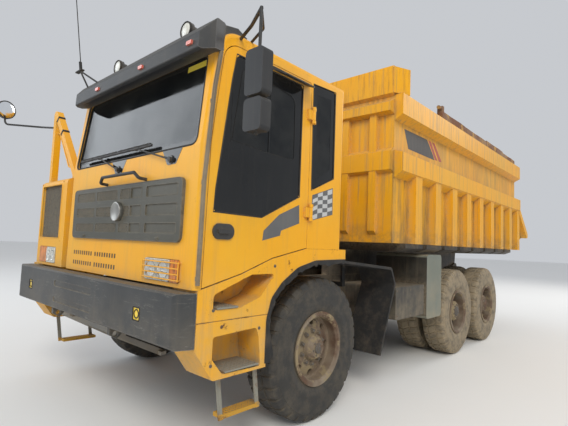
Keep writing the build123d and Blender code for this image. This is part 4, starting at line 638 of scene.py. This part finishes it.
def wheel(place, plural, look, station, out, tyres_x, disc_x, cap_x, nut_ring, cap_ring, cap, stem):
    """The treaded tyres of one wheel or pair, and the nuts, hub cap and valve of its outer disc."""
    body = f"wheel{plural}_{place}"
    pair = Build()
    for x in tyres_x:
        tyre(pair, out * x, station, out)
    piece = pair.done(f"treaded_tyre{plural}_{place}", look, "tyre", body)
    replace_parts(piece, f"tyre{plural}_{place}")
    hub = Build()
    nuts(hub, out * disc_x, station, out, *nut_ring)
    nuts(hub, out * cap_x, station, out, *cap_ring)
    hub.lathe(at(out * cap_x, station, AXLE_Z), (out, 0, 0), cap, 28)
    valve(hub, out * (disc_x - stem[0]), station, out, stem[1])
    hub.done(f"wheel_nuts_{place}", "nut_steel", "rim_paint", body)


# Rings of nuts as (radius of the ring, count, nut radius, height, first turn), cap and valve
FRONT_HUB = (
    (0.16, 10, 0.017, 0.03),
    (0.07, 6, 0.008, 0.008, 0.3),
    [(0, 0.052), (0.014, 0.05), (0.018, 0.044), (0.018, 0.02), (0.024, 0.018)],
    (0.005, 0.272),
)
REAR_HUB = (
    (0.188, 10, 0.015, 0.028),
    (0.104, 10, 0.011, 0.014),
    [(0, 0.08), (0.01, 0.078), (0.016, 0.07), (0.018, 0.03), (0.026, 0.026)],
    (0, 0.285),
)
for side, out in SIDES:
    wheel(f"front_{side}", "", "front_tyre", FRONT_AXLE, out, (FRONT_X,), 1.4995, 1.5795, *FRONT_HUB)
for number, station in enumerate(REAR_AXLES, 1):
    for side, out in SIDES:
        wheel(f"rear_{number}_{side}", "s", "rear_tyre", station, out, REAR_X, 1.2095, 1.5515, *REAR_HUB)

# Front of the truck

# Station of the cover's face, the cover's depth and that of its openings
COVER_Y = 0.104
COVER_DEPTH = 0.032
POCKET = 0.017
GRILLE_ROWS = ((1.73, 1.81), (1.87, 1.96), (2.02, 2.11))
MESH_COLUMNS = ((-0.36, 0.05), (0.09, 0.505), (0.56, 0.73))
PLAIN_COLUMN = (0.745, 0.93)
PRESSED_COLUMN = (1, 1.45)
COVER_OUTLINE = rectangle((-0.44, 1.51), (1.665, 2.15), 0.06)
DISC = (0.555, 1.91)


def wire_mesh(build, corner, along, up, pitch, radius):
    """Slanted crossing wires over a rectangle given by a corner and its two sides."""
    corner, along, up = Vector(corner), Vector(along), Vector(up)
    wide, tall = along.length, up.length
    a, b = along.normalized(), up.normalized()
    step = pitch * math.sqrt(2)
    for mirrored in (False, True):
        for index in range(1, int((wide + tall) / step) + 1):
            reach = index * step
            ends = (min(reach, wide), max(0, reach - wide)), (max(0, reach - tall), min(reach, tall))
            first, last = (corner + a * (wide - u if mirrored else u) + b * v for u, v in ends)
            if (last - first).length > radius * 4:
                build.tube([first, last], radius, 4)


def grille():
    """The cover with mesh behind two and a half columns, pressed panels and a plain disc."""
    holes = [rectangle(x, z, 0.012) for z in GRILLE_ROWS for x in MESH_COLUMNS]
    closed = [rectangle(PRESSED_COLUMN, z, 0.016) for z in GRILLE_ROWS]
    closed += [rectangle(PLAIN_COLUMN, z, 0.012) for z in GRILLE_ROWS]
    loops = [on_front(loop, COVER_Y) for loop in (COVER_OUTLINE, *holes, *closed)]
    plate = Build()
    plate.add(*filled(loops))
    for loop in loops:
        plate.wall(loop, (0, COVER_DEPTH if loop is loops[0] else POCKET, 0))
    for outline in closed:
        plate.plate(on_front(outline, COVER_Y + 0.012), AHEAD, 0.003)
    core = Build()
    for outline in holes:
        core.plate(on_front(outline, COVER_Y + POCKET + 0.0005), AHEAD, 0.001)
    core.done("grille_core", "wire", "dark_paint")
    mesh = Build()
    for z in GRILLE_ROWS:
        for x in MESH_COLUMNS:
            for share in (0.25, 0.5, 0.75):
                middle = z[0] + (z[1] - z[0]) * share
                low = at(x[0], COVER_Y + 0.006, middle - 0.004)
                plate.box(low, at(x[1], COVER_Y + 0.013, middle + 0.004), 0.0015)
            corner = at(x[0], COVER_Y + 0.003, z[0])
            wire_mesh(mesh, corner, (x[1] - x[0], 0, 0), (0, 0, z[1] - z[0]), 0.021, 0.0026)
    for outline in holes + closed:
        plate.ring(on_front(outline, COVER_Y + 0.0005), 0.0028)
    rim = [(p[0] * 0.994 + 0.0032, p[1] * 0.99 + 0.019, 0.055) for p in COVER_OUTLINE]
    plate.ring(on_front(rim, COVER_Y), 0.003)
    for x in (-0.15, 1.2):
        plate.box(at(x - 0.022, 0.094, 1.676), at(x + 0.022, COVER_Y + 0.002, 1.7), 0.004)
        plate.lathe(at(x, 0.094, 1.688), AHEAD, [(0, 0.008), (0.004, 0.008), (0.006, 0.005)], 14)
    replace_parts(plate.done("grille_cover", "grille_grey", "dark_paint", smooth=0.5), "grille")
    mesh.done("grille_mesh", "mesh_wire", "dark_paint")
    disc = Build()
    rim = [(0, 0.084), (0.03, 0.088), (0.04, 0.084), (0.042, 0.078), (0.038, 0.072), (0.038, 0)]
    disc.lathe(at(DISC[0], COVER_Y, DISC[1]), AHEAD, rim, 40)
    disc.done("plain_disc", "disc_grey", "dark_paint")


BUMPER_BOLTS = (
    (-0.75, 1.229), (-0.61, 1.229), (0.448, 1.223), (0.577, 1.218),
    (-0.747, 1.033), (-0.618, 1.029), (0.438, 1.021), (0.588, 1.027),
)
FOG_LAMPS_X = (-1.24, 1.15)
FOG_LAMP_Z = 1.12


def bumper_bolts():
    bolts = Build().bolts([at(x, 0.0085, z) for x, z in BUMPER_BOLTS], AHEAD, 0.012, 0.008)
    bolts.done("bumper_bolts", "bolt_steel", "dark_paint")


def vent_slots():
    """Near-black plates inside the slots under the cover as painted shade, and black frames round the fog
    lamps.
    """
    slot_shade = Build()
    # Painted shade: a near-black plate a few millimetres inside each slot
    for start in (-0.412, 0.078):
        for low in (1.4, 1.5):
            for index in range(9):
                x = start + 0.05 * index
                y = 0.123 + (low - 1.34) * 0.0144
                slot = rectangle((x, x + 0.028), (low, low + 0.04), 0.003)
                slot_shade.plate(on_front(slot, y), AHEAD, 0.001)
    slot_shade.done("vent_slots", "wire", "yellow_paint")
    frames = Build()
    for x in FOG_LAMPS_X:
        outline = rectangle((x - 0.049, x + 0.049), (FOG_LAMP_Z - 0.049, FOG_LAMP_Z + 0.049), 0.008)
        frames.ring(on_front(outline, 0.002), 0.006)
        rim = [(0, 0.036), (0.004, 0.035), (0.004, 0.028), (0.001, 0.026)]
        frames.lathe(at(x, 0.0038, FOG_LAMP_Z), AHEAD, rim, 24, False)
    frames.done("fog_lamp_frames", "rubber", "amber_lamp")


# Headlamps: their sides, and their height and depth
HEADLAMPS = ((1.033, 1.38), (-1.165, -0.913))
LAMP_Z = 1.455
LAMP_Y = 0.1135


def headlamps():
    """Bulb cups, chrome rings and fluted covers in front of the flat lenses."""
    cups, shades = Build(), Build()
    for low, high in HEADLAMPS:
        wide = high - low
        radius = min(0.066, wide / 4 - 0.006)
        ring = [(a, radius + b) for a, b in ((0, 0.004), (0.006, 0.003), (0.007, -0.002), (0.001, -0.008))]
        bowl = [(a, radius * b) for a, b in ((0.0012, 0.62), (0.0008, 0.4), (0.003, 0.22), (0.005, 0.1))]
        for share in (0.25, 0.75):
            cups.lathe(at(low + wide * share, LAMP_Y + 0.0007, LAMP_Z), AHEAD, ring + bowl, 32)
        flutes = int(wide / 0.014)
        for index in range(1, flutes):
            x = low + wide * index / flutes
            shades.tube([at(x, LAMP_Y, LAMP_Z - 0.073), at(x, LAMP_Y, LAMP_Z + 0.073)], 0.0022, 5)
        outline = rectangle((low + 0.004, high - 0.004), (LAMP_Z - 0.077, LAMP_Z + 0.078), 0.014)
        shades.ring(on_front(outline, LAMP_Y), 0.0035)
    cups.done("lamp_reflectors", "reflector", "lamp")
    shades.done("lamp_flutes", "clear_flutes", "lamp")


# Openings of the column beside the cab: x or station, then height
COLUMN_FRONT = ((-1.45, -0.85), (1.65, 2.255))
COLUMN_SIDE = ((0.24, 0.9), (1.7, 2.2))


def inset(opening, amount, corner):
    """The outline of an opening drawn in by an amount."""
    return rectangle(*((low + amount, high - amount) for low, high in opening), corner)


def column_mesh():
    """Wire mesh in the openings of the column beside the cab."""
    mesh = Build()
    wire_mesh(mesh, at(-1.448, 0.147, 1.652), (0.596, 0, 0), (0, 0, 0.601), 0.017, 0.0017)
    wire_mesh(mesh, at(-1.4825, 0.242, 1.702), (0, 0.656, 0), (0, 0, 0.496), 0.017, 0.0017)
    mesh.done("column_mesh", "mesh_wire", "dark_paint")
    core = Build()
    core.plate(on_front(inset(COLUMN_FRONT, 0.001, 0.004), 0.1497), AHEAD, 0.001)
    core.plate(on_side(inset(COLUMN_SIDE, 0.001, 0.004), -1.4803), RIGHT, 0.001)
    core.done("column_core", "wire", "dark_paint")
    trim = Build()
    trim.ring(on_front(rectangle(*COLUMN_FRONT, 0.02), 0.119), 0.006)
    trim.bolts([at(x, 0.1205, z) for x in (-1.475, -0.825) for z in (1.62, 1.95, 2.28)], AHEAD, 0.008, 0.006)
    trim.done("column_trim", "yellow_paint", "yellow_paint")


# Cab

CAB_SIDE = 1.69
PANE_SIDE = 1.6824
SCREEN_SUNK = 0.0195
SCREEN = [(-0.54, 2.385, 0.07), (1.61, 2.385, 0.07), (1.58, 3.095, 0.06), (-0.5, 3.095, 0.06)]
DOOR_WINDOW = [
    (0.254, 1.9), (0.745, 1.893), (1.207, 2.11), (1.207, 3.13), (0.405, 3.13), (0.371, 2.918), (0.265, 2.071),
]
SEE_THROUGH = [(0.4, 2.46), (0.79, 2.435), (1.12, 2.43, 0.03), (1.112, 2.985, 0.09), (0.48, 3.06, 0.06)]
QUARTER_WINDOW = [(1.375, 2.19), (1.72, 2.345), (1.715, 3.22), (1.36, 3.2)]
RIGHT_WINDOW = rectangle((0.48, 1.25), (2.15, 3.13), 0.05)
REAR_WINDOW = rectangle((0.02, 1.08), (2.5, 3.05), 0.04)
WIPER_PIVOTS = (0.436, 1.3)


def panel_y(z):
    """The station of the cab's front panel at a height."""
    if z < 2.38:
        return 0.12 + (z - 1.34) * 0.015 / 1.04
    if z < 3.05:
        return 0.135 + (z - 2.38) * 0.077 / 0.67
    return 0.212 + (z - 3.05) * 0.029 / 0.25


def on_panel(outline, behind):
    return [at(p[0], panel_y(p[1]) + behind, p[1]) for p in rounded(outline)]


def shrunk(outline, share_x, share_z):
    """The outline drawn in towards its middle."""
    a = sum(p[0] for p in outline) / len(outline)
    b = sum(p[1] for p in outline) / len(outline)
    return [(a + (p[0] - a) * share_x, b + (p[1] - b) * share_z, *p[2:]) for p in outline]


def screen_trim():
    """The screen's rubber seal and its black border, which dips round the wipers."""
    Build().ring(on_panel(SCREEN, 0.004), 0.009, 8).done("screen_seal", "rubber", "rubber")
    border = Build()
    inner = on_panel(shrunk(SCREEN, 0.955, 0.87), SCREEN_SUNK)
    border.band(on_panel(SCREEN, SCREEN_SUNK), inner, (0, -0.0012, 0))
    for x in WIPER_PIVOTS:
        dip = [(x - 0.14, 2.384), (x - 0.06, 2.262, 0.03), (x + 0.06, 2.262, 0.03), (x + 0.14, 2.384)]
        border.plate(on_panel(dip, -0.0002), AHEAD, 0.0015)
        boss = [(0, 0.034), (0.006, 0.033), (0.01, 0.026)]
        border.lathe(at(x, panel_y(2.3) - 0.001, 2.3), AHEAD, boss)
    border.done("screen_border", "black_border", "rubber")
    strip = Build()
    place = [(1.31, 3.012), (1.55, 3.012), (1.545, 3.06), (1.31, 3.06)]
    strip.plate(on_panel(place, 0.0175), AHEAD, 0.0006)
    strip.done("plain_yellow_strip", "strip_yellow", "dark_paint")


def side_windows():
    """Seals and black borders of the door, quarter, right and rear panes."""
    seal = Build().ring(on_side(DOOR_WINDOW, CAB_SIDE - 0.0015), 0.006)
    seal.done("door_window_seal", "rubber", "rubber", "door_left")
    lift = (0.0012, 0, 0)
    border = Build()
    outer = on_side(shrunk(DOOR_WINDOW, 0.995, 0.995), PANE_SIDE)
    border.band(outer, on_side(SEE_THROUGH, PANE_SIDE), lift)
    border.ring(on_side(SEE_THROUGH, PANE_SIDE + 0.0012), 0.004)
    border.box(at(1.6832, 0.385, 2.44), at(1.6862, 0.397, 3.05), 0.001)
    border.box(at(1.6832, 0.792, 2.44), at(1.6866, 0.806, 3.02), 0.001)
    border.done("door_window_border", "black_border", "glass", "door_left")
    rest = Build()
    rest.ring(on_side(QUARTER_WINDOW, CAB_SIDE - 0.0015), 0.006)
    rest.ring(on_side(RIGHT_WINDOW, -0.6185), 0.006)
    rest.ring(on_front(REAR_WINDOW, 1.8785), 0.006)
    rest.done("window_seals", "rubber", "rubber")
    quarter = Build()
    inner = on_side(shrunk(QUARTER_WINDOW, 0.62, 0.8), PANE_SIDE)
    quarter.band(on_side(shrunk(QUARTER_WINDOW, 0.985, 0.99), PANE_SIDE), inner, lift)
    quarter.done("quarter_window_border", "black_border", "glass")


DOOR_DECAL = [
    (0.763, 1.706), (0.774, 1.787), (0.95, 1.93), (1.209, 2.039), (1.219, 1.874), (0.983, 1.797),
    (0.973, 1.755),
]
CHECKER = [Vector(p) for p in ((1.387, 1.909), (1.721, 1.99), (1.714, 2.254), (1.392, 2.148))]
CHECKER_CELLS = (4, 6)
BODY_SIDE = 1.56
BODY_DECAL = [(3.49, 3.29), (4.23, 3.3), (4.46, 3.1), (4.5, 3.04), (3.62, 3.04)]
BODY_STRIPES = (
    [(4.27, 3.3), (4.36, 3.3), (4.62, 3.05), (4.53, 3.05)],
    [(4.41, 3.3), (4.5, 3.3), (4.79, 3.06), (4.68, 3.05)],
)


def sticker(name, look, outlines, x, thickness, body="chassis"):
    """Thin plain sheets on the left side of the truck."""
    build = Build()
    for outline in outlines:
        build.plate(on_side(outline, x), LEFT, thickness)
    build.done(name, look, "yellow_paint", body)


def checker_spot(u, v):
    """A place on the checkered sticker, from shares along and up it, on a slight wave."""
    u, v = 0.03 + u * 0.94, 0.03 + v * 0.94
    wave = 0.012 * math.sin(u * 5.5)
    place = CHECKER[0].lerp(CHECKER[1], u).lerp(CHECKER[3].lerp(CHECKER[2], u), v)
    return (place.x, place.y + wave * v * (1 - v) * 4)


def stickers():
    """The grey and the checkered sticker on the cab, and the dark one with stripes on the body."""
    across, tall = CHECKER_CELLS
    cells = []
    for i in range(across):
        for j in range(i % 2, tall, 2):
            a, b = i / across, (i + 1) / across
            c, d = j / tall, (j + 1) / tall
            half = (a + b) / 2
            cells.append([checker_spot(*p) for p in ((a, c), (half, c), (b, c), (b, d), (half, d), (a, d))])
    sticker("door_sticker", "sticker_grey", [DOOR_DECAL], CAB_SIDE + 0.0002, 0.0007, "door_left")
    sticker("checker_ground", "sticker_grey", [CHECKER], CAB_SIDE + 0.0002, 0.0005)
    sticker("checker_squares", "sticker_white", cells, CAB_SIDE + 0.0007, 0.0005)
    sticker("body_sticker", "sticker_dark", [BODY_DECAL], BODY_SIDE + 0.0003, 0.0007, "dump_body")
    sticker("body_stripes", "sticker_red", BODY_STRIPES, BODY_SIDE + 0.0003, 0.0008, "dump_body")


MIRROR_HEADS_Z = ((2.61, 2.91), (2.38, 2.59))
ROUND_MIRROR_FACING = Vector((0.967, 0.254, 0)).normalized()


def mirror_glasses():
    """Silvered panes with a rubber edge on the rear of the left heads and on the round one."""
    panes, edges = Build(), Build()
    for low, high in MIRROR_HEADS_Z:
        outline = rectangle((2.142, 2.278), (low + 0.014, high - 0.014), 0.028)
        panes.plate(on_front(outline, 0.1945), BACK, 0.002)
        edges.ring(on_front(outline, 0.196), 0.0045, 8)
    face = ROUND_MIRROR_FACING
    middle = at(-2.24, -0.1608, 3.29) + face * 0.0195
    panes.lathe(middle, face, [(0, 0.106), (0.001, 0.104), (0.004, 0.07), (0.006, 0.03)], 40)
    edges.ring([middle + p * 0.109 for p in circle(face.cross(Vector(UP)), Vector(UP), 40)], 0.005, 8)
    panes.done("mirror_panes", "mirror", "plastic")
    edges.done("mirror_edges", "rubber", "rubber")


SEATS_X = (("left", 1.15), ("right", 0.05))
# Each part's outline from the side, half its width and how far its pad swells
SEAT_PARTS = {
    "cushion": ([(0.955, 2.008), (1.5, 2.008), (1.5, 2.142), (0.955, 2.132)], 0.26, 0.016),
    "back": ([(1.427, 2.1), (1.562, 2.1), (1.702, 2.802), (1.596, 2.802)], 0.25, 0.018),
    "head": ([(1.612, 2.808), (1.702, 2.808), (1.727, 2.982), (1.637, 2.982)], 0.13, 0.012),
}
# Shares of the half width where a pad's rings stand; past 1 they close it
PAD_RINGS = (-1.045, -1.03, -1, -0.8, -0.52, -0.5, -0.48, -0.2, 0.2, 0.48, 0.5, 0.52, 0.8, 1, 1.03, 1.045)
SEAM = 0.5


def pillow(build, outline, x, half, grow):
    """A crowned pad round a side outline, whose ends pull in, with a seam at each half."""
    points = [Vector(p) for p in outline]
    middle = sum(points, Vector((0, 0))) / len(points)
    smooth = []
    for p, ahead in zip(points, points[1:] + points[:1]):
        smooth += [p.lerp(ahead, t) for t in (0.08, 0.3, 0.5, 0.7, 0.92)]
    rings = []
    for t in PAD_RINGS:
        crown = grow * (1 - 0.5 * t * t)
        if abs(abs(t) - SEAM) < 0.01:
            crown *= 0.35
        if abs(t) > 1:
            crown = -0.006 if abs(t) < 1.04 else -0.03
        swollen = [p + (p - middle).normalized() * (crown + 0.003) for p in smooth]
        rings.append([at(x + half * t, *q) for q in swollen])
    build.rows(rings)


def seats():
    """Fabric pads over the two seats."""
    for name, x in SEATS_X:
        for part, (outline, half, grow) in SEAT_PARTS.items():
            pad = Build()
            pillow(pad, outline, x, half, grow)
            piece = pad.done(f"seat_{part}_{name}", "seat_cloth", "plastic", smooth=1.2)


# Small fittings and welds

# Treads of the steps and the ladder: x, station and height of the upper face
STEP_TREADS = (
    ((1.445, 1.695), (0.34, 0.52), 1.206),
    ((1.445, 1.695), (0.44, 0.76), 0.74),
    ((1.506, 1.598), (0.51, 0.89), 0.38),
)
GRIP_PITCH = 0.03
GRIP_HALF = 0.008
FENDER_BOLTS = ((0.926, 1.499), (0.384, 1.064), (0.77, 1.01), (0.3, 1.19), (0.3, 0.8))
POSTS = [3.64 + 0.668 * index for index in range(9)]
POST_HALF = 0.1
POST_Z = (1.9, 2.66)
RAIL_STATIONS = (3.3, 8.55)


def step_grips():
    """Raised slanted bars that make the treads rough."""
    grips = Build()
    for _, out in SIDES:
        for x, y, z in STEP_TREADS:
            rows = int((y[1] - y[0]) / GRIP_PITCH)
            columns = int((x[1] - x[0]) / GRIP_PITCH)
            for i in range(rows):
                for j in range(columns):
                    a = x[0] + (x[1] - x[0]) * (j + 0.5) / columns
                    b = y[0] + (y[1] - y[0]) * (i + 0.5) / rows
                    lean = GRIP_HALF if (i + j) % 2 else -GRIP_HALF
                    ends = [at(out * (a + s * lean), b + s * GRIP_HALF, z + 0.0008) for s in (-1, 1)]
                    grips.tube(ends, 0.0022, 4)
    grips.done("step_grips", "tread_rust", "rust")


def fender_bolts():
    bolts = Build()
    for _, out in SIDES:
        bolts.bolts([at(out * CAB_SIDE, *p) for p in FENDER_BOLTS], (out, 0, 0), 0.01, 0.008)
    bolts.done("fender_bolts", "nut_steel", "yellow_paint")


def bead(build, start, end, step=0.05):
    """A weld bead with a slightly uneven run."""
    count = max(2, int((end - start).length / step))
    side = (end - start).normalized().orthogonal()
    path = []
    for i in range(count + 1):
        wobble = 0.0012 * math.sin(i * 2.1) + 0.0008 * math.sin(i * 5.3)
        path.append(start.lerp(end, i / count) + side * wobble)
    build.tube(path, 0.005, 5)


def body_welds():
    """Beads along both edges of the posts and under the rails."""
    welds = Build()
    for _, out in SIDES:
        x = out * BODY_SIDE
        for station in POSTS:
            for edge in (station - POST_HALF, station + POST_HALF):
                bead(welds, *(at(x, edge, z) for z in POST_Z))
        for z in (2.918, 3.402):
            bead(welds, *(at(x, station, z) for station in RAIL_STATIONS), 0.11)
    welds.done("body_welds", "body_paint", "yellow_paint", "dump_body")


def frame_clamps():
    """Black bands on the slanting bar of the frame beside the cab."""
    bands = Build()
    along = Vector((0.715, 0, -0.83)).normalized()
    across = Vector((0.83, 0, 0.715)).normalized()
    for z in (3.12, 2.93):
        share = (3.215 - z) / 0.83
        middle = at(-1.43 + 0.715 * share, 0.188, z) - across * 0.03
        corners = ((-0.042, -0.016), (0.036, -0.016), (0.036, 0.016), (-0.042, 0.016))
        bands.plate([middle + across * a + along * b for a, b in corners], BACK, 0.076)
    bands.done("frame_clamps", "rubber", "rubber")


def tank_fittings():
    """The cap of the fuel tank and the lids' bolts of the battery box."""
    fittings = Build()
    cap = [(0, 0.055), (0.012, 0.058), (0.03, 0.058), (0.036, 0.052), (0.036, 0)]
    fittings.lathe(at(-1.35, 3.55, 1.42), UP, cap, 28)
    fittings.bolts([at(1.6, y, z) for y in (3.3, 3.68, 4.06) for z in (0.83, 1.14)], LEFT, 0.009, 0.007)
    fittings.done("tank_fittings", "nut_steel", "tank_paint")


# Blades, lamp glasses and the arches' rubber lip

WIPER_BLADES = ((-0.37, 0.43), (0.43, 1.02))
WORK_LAMPS_X = (-0.075, 1.145)
WORK_LAMP_RADIUS = 0.075
LIP_PATH = [
    (0.86, 0.72), (0.86, 1.06, 0.18), (0.91, 1.23, 0.15), (1.03, 1.35, 0.22), (1.23, 1.47, 0.25),
    (1.48, 1.53, 0.25), (1.96, 1.54),
]
# Section of the lip: share of its width, and how far it stands off the panel
LIP_SECTION = ((0, 0.0005), (0, 0.007), (0.5, 0.009), (1, 0.006), (1, 0.0005))


def wiper_blades():
    """Rubber blades with their spring bars, on the wiper arms."""
    blades = Build()
    y = panel_y(2.33)
    for low, high in WIPER_BLADES:
        blades.box(at(low, y - 0.028, 2.436), at(high, y - 0.012, 2.446), 0.003)
        blades.tube([at(low + 0.02, y - 0.02, 2.462), at(high - 0.02, y - 0.02, 2.462)], 0.007, 8)
        for share in (0.12, 0.35, 0.65, 0.88):
            x = low + (high - low) * share
            blades.box(at(x - 0.012, y - 0.026, 2.44), at(x + 0.012, y - 0.014, 2.47), 0.003)
    blades.done("wiper_blades", "rubber", "dark_paint")


def work_lamp_glasses():
    """Bowl, glass and bezel on the front of the two lamps over the visor."""
    glasses, bezels = Build(), Build()
    radius = WORK_LAMP_RADIUS
    bowl = [(0.001, radius * 0.86), (0.008, radius * 0.7), (0.012, radius * 0.4), (0.013, 0)]
    rim = [(-0.012, radius + 0.002), (0.006, radius + 0.001), (0.01, radius * 0.94), (0.004, radius * 0.86)]
    for x in WORK_LAMPS_X:
        face = at(x, 0.29, 3.45)
        glasses.lathe(face, AHEAD, bowl, 32)
        bezels.lathe(face, AHEAD, rim, 32, caps=False)
    glasses.done("work_lamp_glasses", "clear_flutes", "lamp")
    bezels.done("work_lamp_bezels", "rubber", "lamp")


def arch_lips():
    """The wavy rubber edging on the front arches."""
    path = rounded(LIP_PATH, 10)
    dense = []
    for a, b in zip(path, path[1:]):
        count = max(1, int((b - a).length / 0.03))
        dense += [a.lerp(b, k / count) for k in range(count)]
    dense.append(path[-1])
    for name, out in SIDES:
        lip = Build()
        rings = []
        for index, p in enumerate(dense):
            inward = (Vector((FRONT_AXLE, AXLE_Z)) - p).normalized()
            wide = 0.048 + 0.01 * math.sin(index * 0.55) + 0.006 * math.sin(index * 1.37 + 1)
            fold = 0.0035 * math.sin(index * 0.8 + 0.5)
            section = []
            for share, proud in LIP_SECTION:
                q = p + inward * (wide * share - 0.014)
                lift = max(0.0005, proud + (fold if share > 0 and proud > 0.001 else 0))
                section.append(at(out * (CAB_SIDE - 0.0005 + lift), *q))
            rings.append(section)
        lip.rows(rings)
        lip.done(f"arch_lip_{name}", "rubber", "rubber")


for make in (
    grille, bumper_bolts, vent_slots, headlamps, column_mesh, screen_trim, side_windows, stickers,
    mirror_glasses, seats, step_grips, fender_bolts, body_welds, frame_clamps, tank_fittings,
    wiper_blades, work_lamp_glasses, arch_lips,
):
    make()

# Floor, light and camera

# Name, place, target, size, power in watts and colour
LIGHTS = (
    ("key", (14, -16, 15), (0, -1, 1.5), (9, 9), 2900, (1, 0.96, 0.88)),
    ("fill", (-14, -14, 9), (0, -2, 1.5), (10, 8), 800, (0.88, 0.94, 1)),
    ("back", (6, 16, 12), (0, 1, 2), (9, 7), 1100, (1, 0.97, 0.92)),
)
# The camera, fitted to the photograph
AZIMUTH = math.radians(42.294)
PITCH = math.radians(4.198)
ROLL = math.radians(-2.268)
FOCAL_PIXELS = 413.07
IMAGE_WIDTH = 568
SENSOR_MM = 36


def stage_floor():
    bpy.ops.mesh.primitive_circle_add(vertices=96, radius=90, fill_type="NGON", location=(0, 0, 0))
    floor = bpy.context.object
    floor.name = "studio_floor"
    s = Shader()
    s.material.name = "studio_floor"
    floor.data.materials.append(s.finish(s.mix(s.noise(0.4), (0.8, 0.8, 0.79), (0.83, 0.83, 0.82)), 0.9))


def stage_light():
    world = bpy.data.worlds.new("studio")
    world.use_nodes = True
    background = world.node_tree.nodes["Background"]
    background.inputs["Color"].default_value = (0.92, 0.95, 1, 1)
    background.inputs["Strength"].default_value = 0.62
    bpy.context.scene.world = world
    for name, place, target, size, power, colour in LIGHTS:
        data = bpy.data.lights.new(name, "AREA")
        data.shape = "RECTANGLE"
        data.size, data.size_y = size
        data.energy = power
        data.color = colour
        light = bpy.data.objects.new(name, data)
        light.location = place
        light.rotation_euler = (Vector(target) - Vector(place)).to_track_quat("-Z", "Y").to_euler()
        bpy.context.scene.collection.objects.link(light)


def stage_camera():
    level = Vector((math.cos(AZIMUTH), math.sin(AZIMUTH), 0))
    forward = Vector((-level.y * math.cos(PITCH), level.x * math.cos(PITCH), math.sin(PITCH)))
    upright = level.cross(forward)
    right = level * math.cos(ROLL) - upright * math.sin(ROLL)
    up = level * math.sin(ROLL) + upright * math.cos(ROLL)
    data = bpy.data.cameras.new("photo_view")
    data.sensor_fit = "HORIZONTAL"
    data.sensor_width = SENSOR_MM
    data.lens = FOCAL_PIXELS / IMAGE_WIDTH * SENSOR_MM
    data.clip_end = 400
    camera = bpy.data.objects.new("photo_view", data)
    matrix = Matrix((right, up, -forward)).transposed().to_4x4()
    matrix.translation = at(4.068, -1.602, 1.691)
    camera.matrix_world = matrix
    bpy.context.scene.collection.objects.link(camera)
    bpy.context.scene.camera = camera


stage_floor()
stage_light()
stage_camera()
bpy.context.scene.view_settings.view_transform = "Standard"
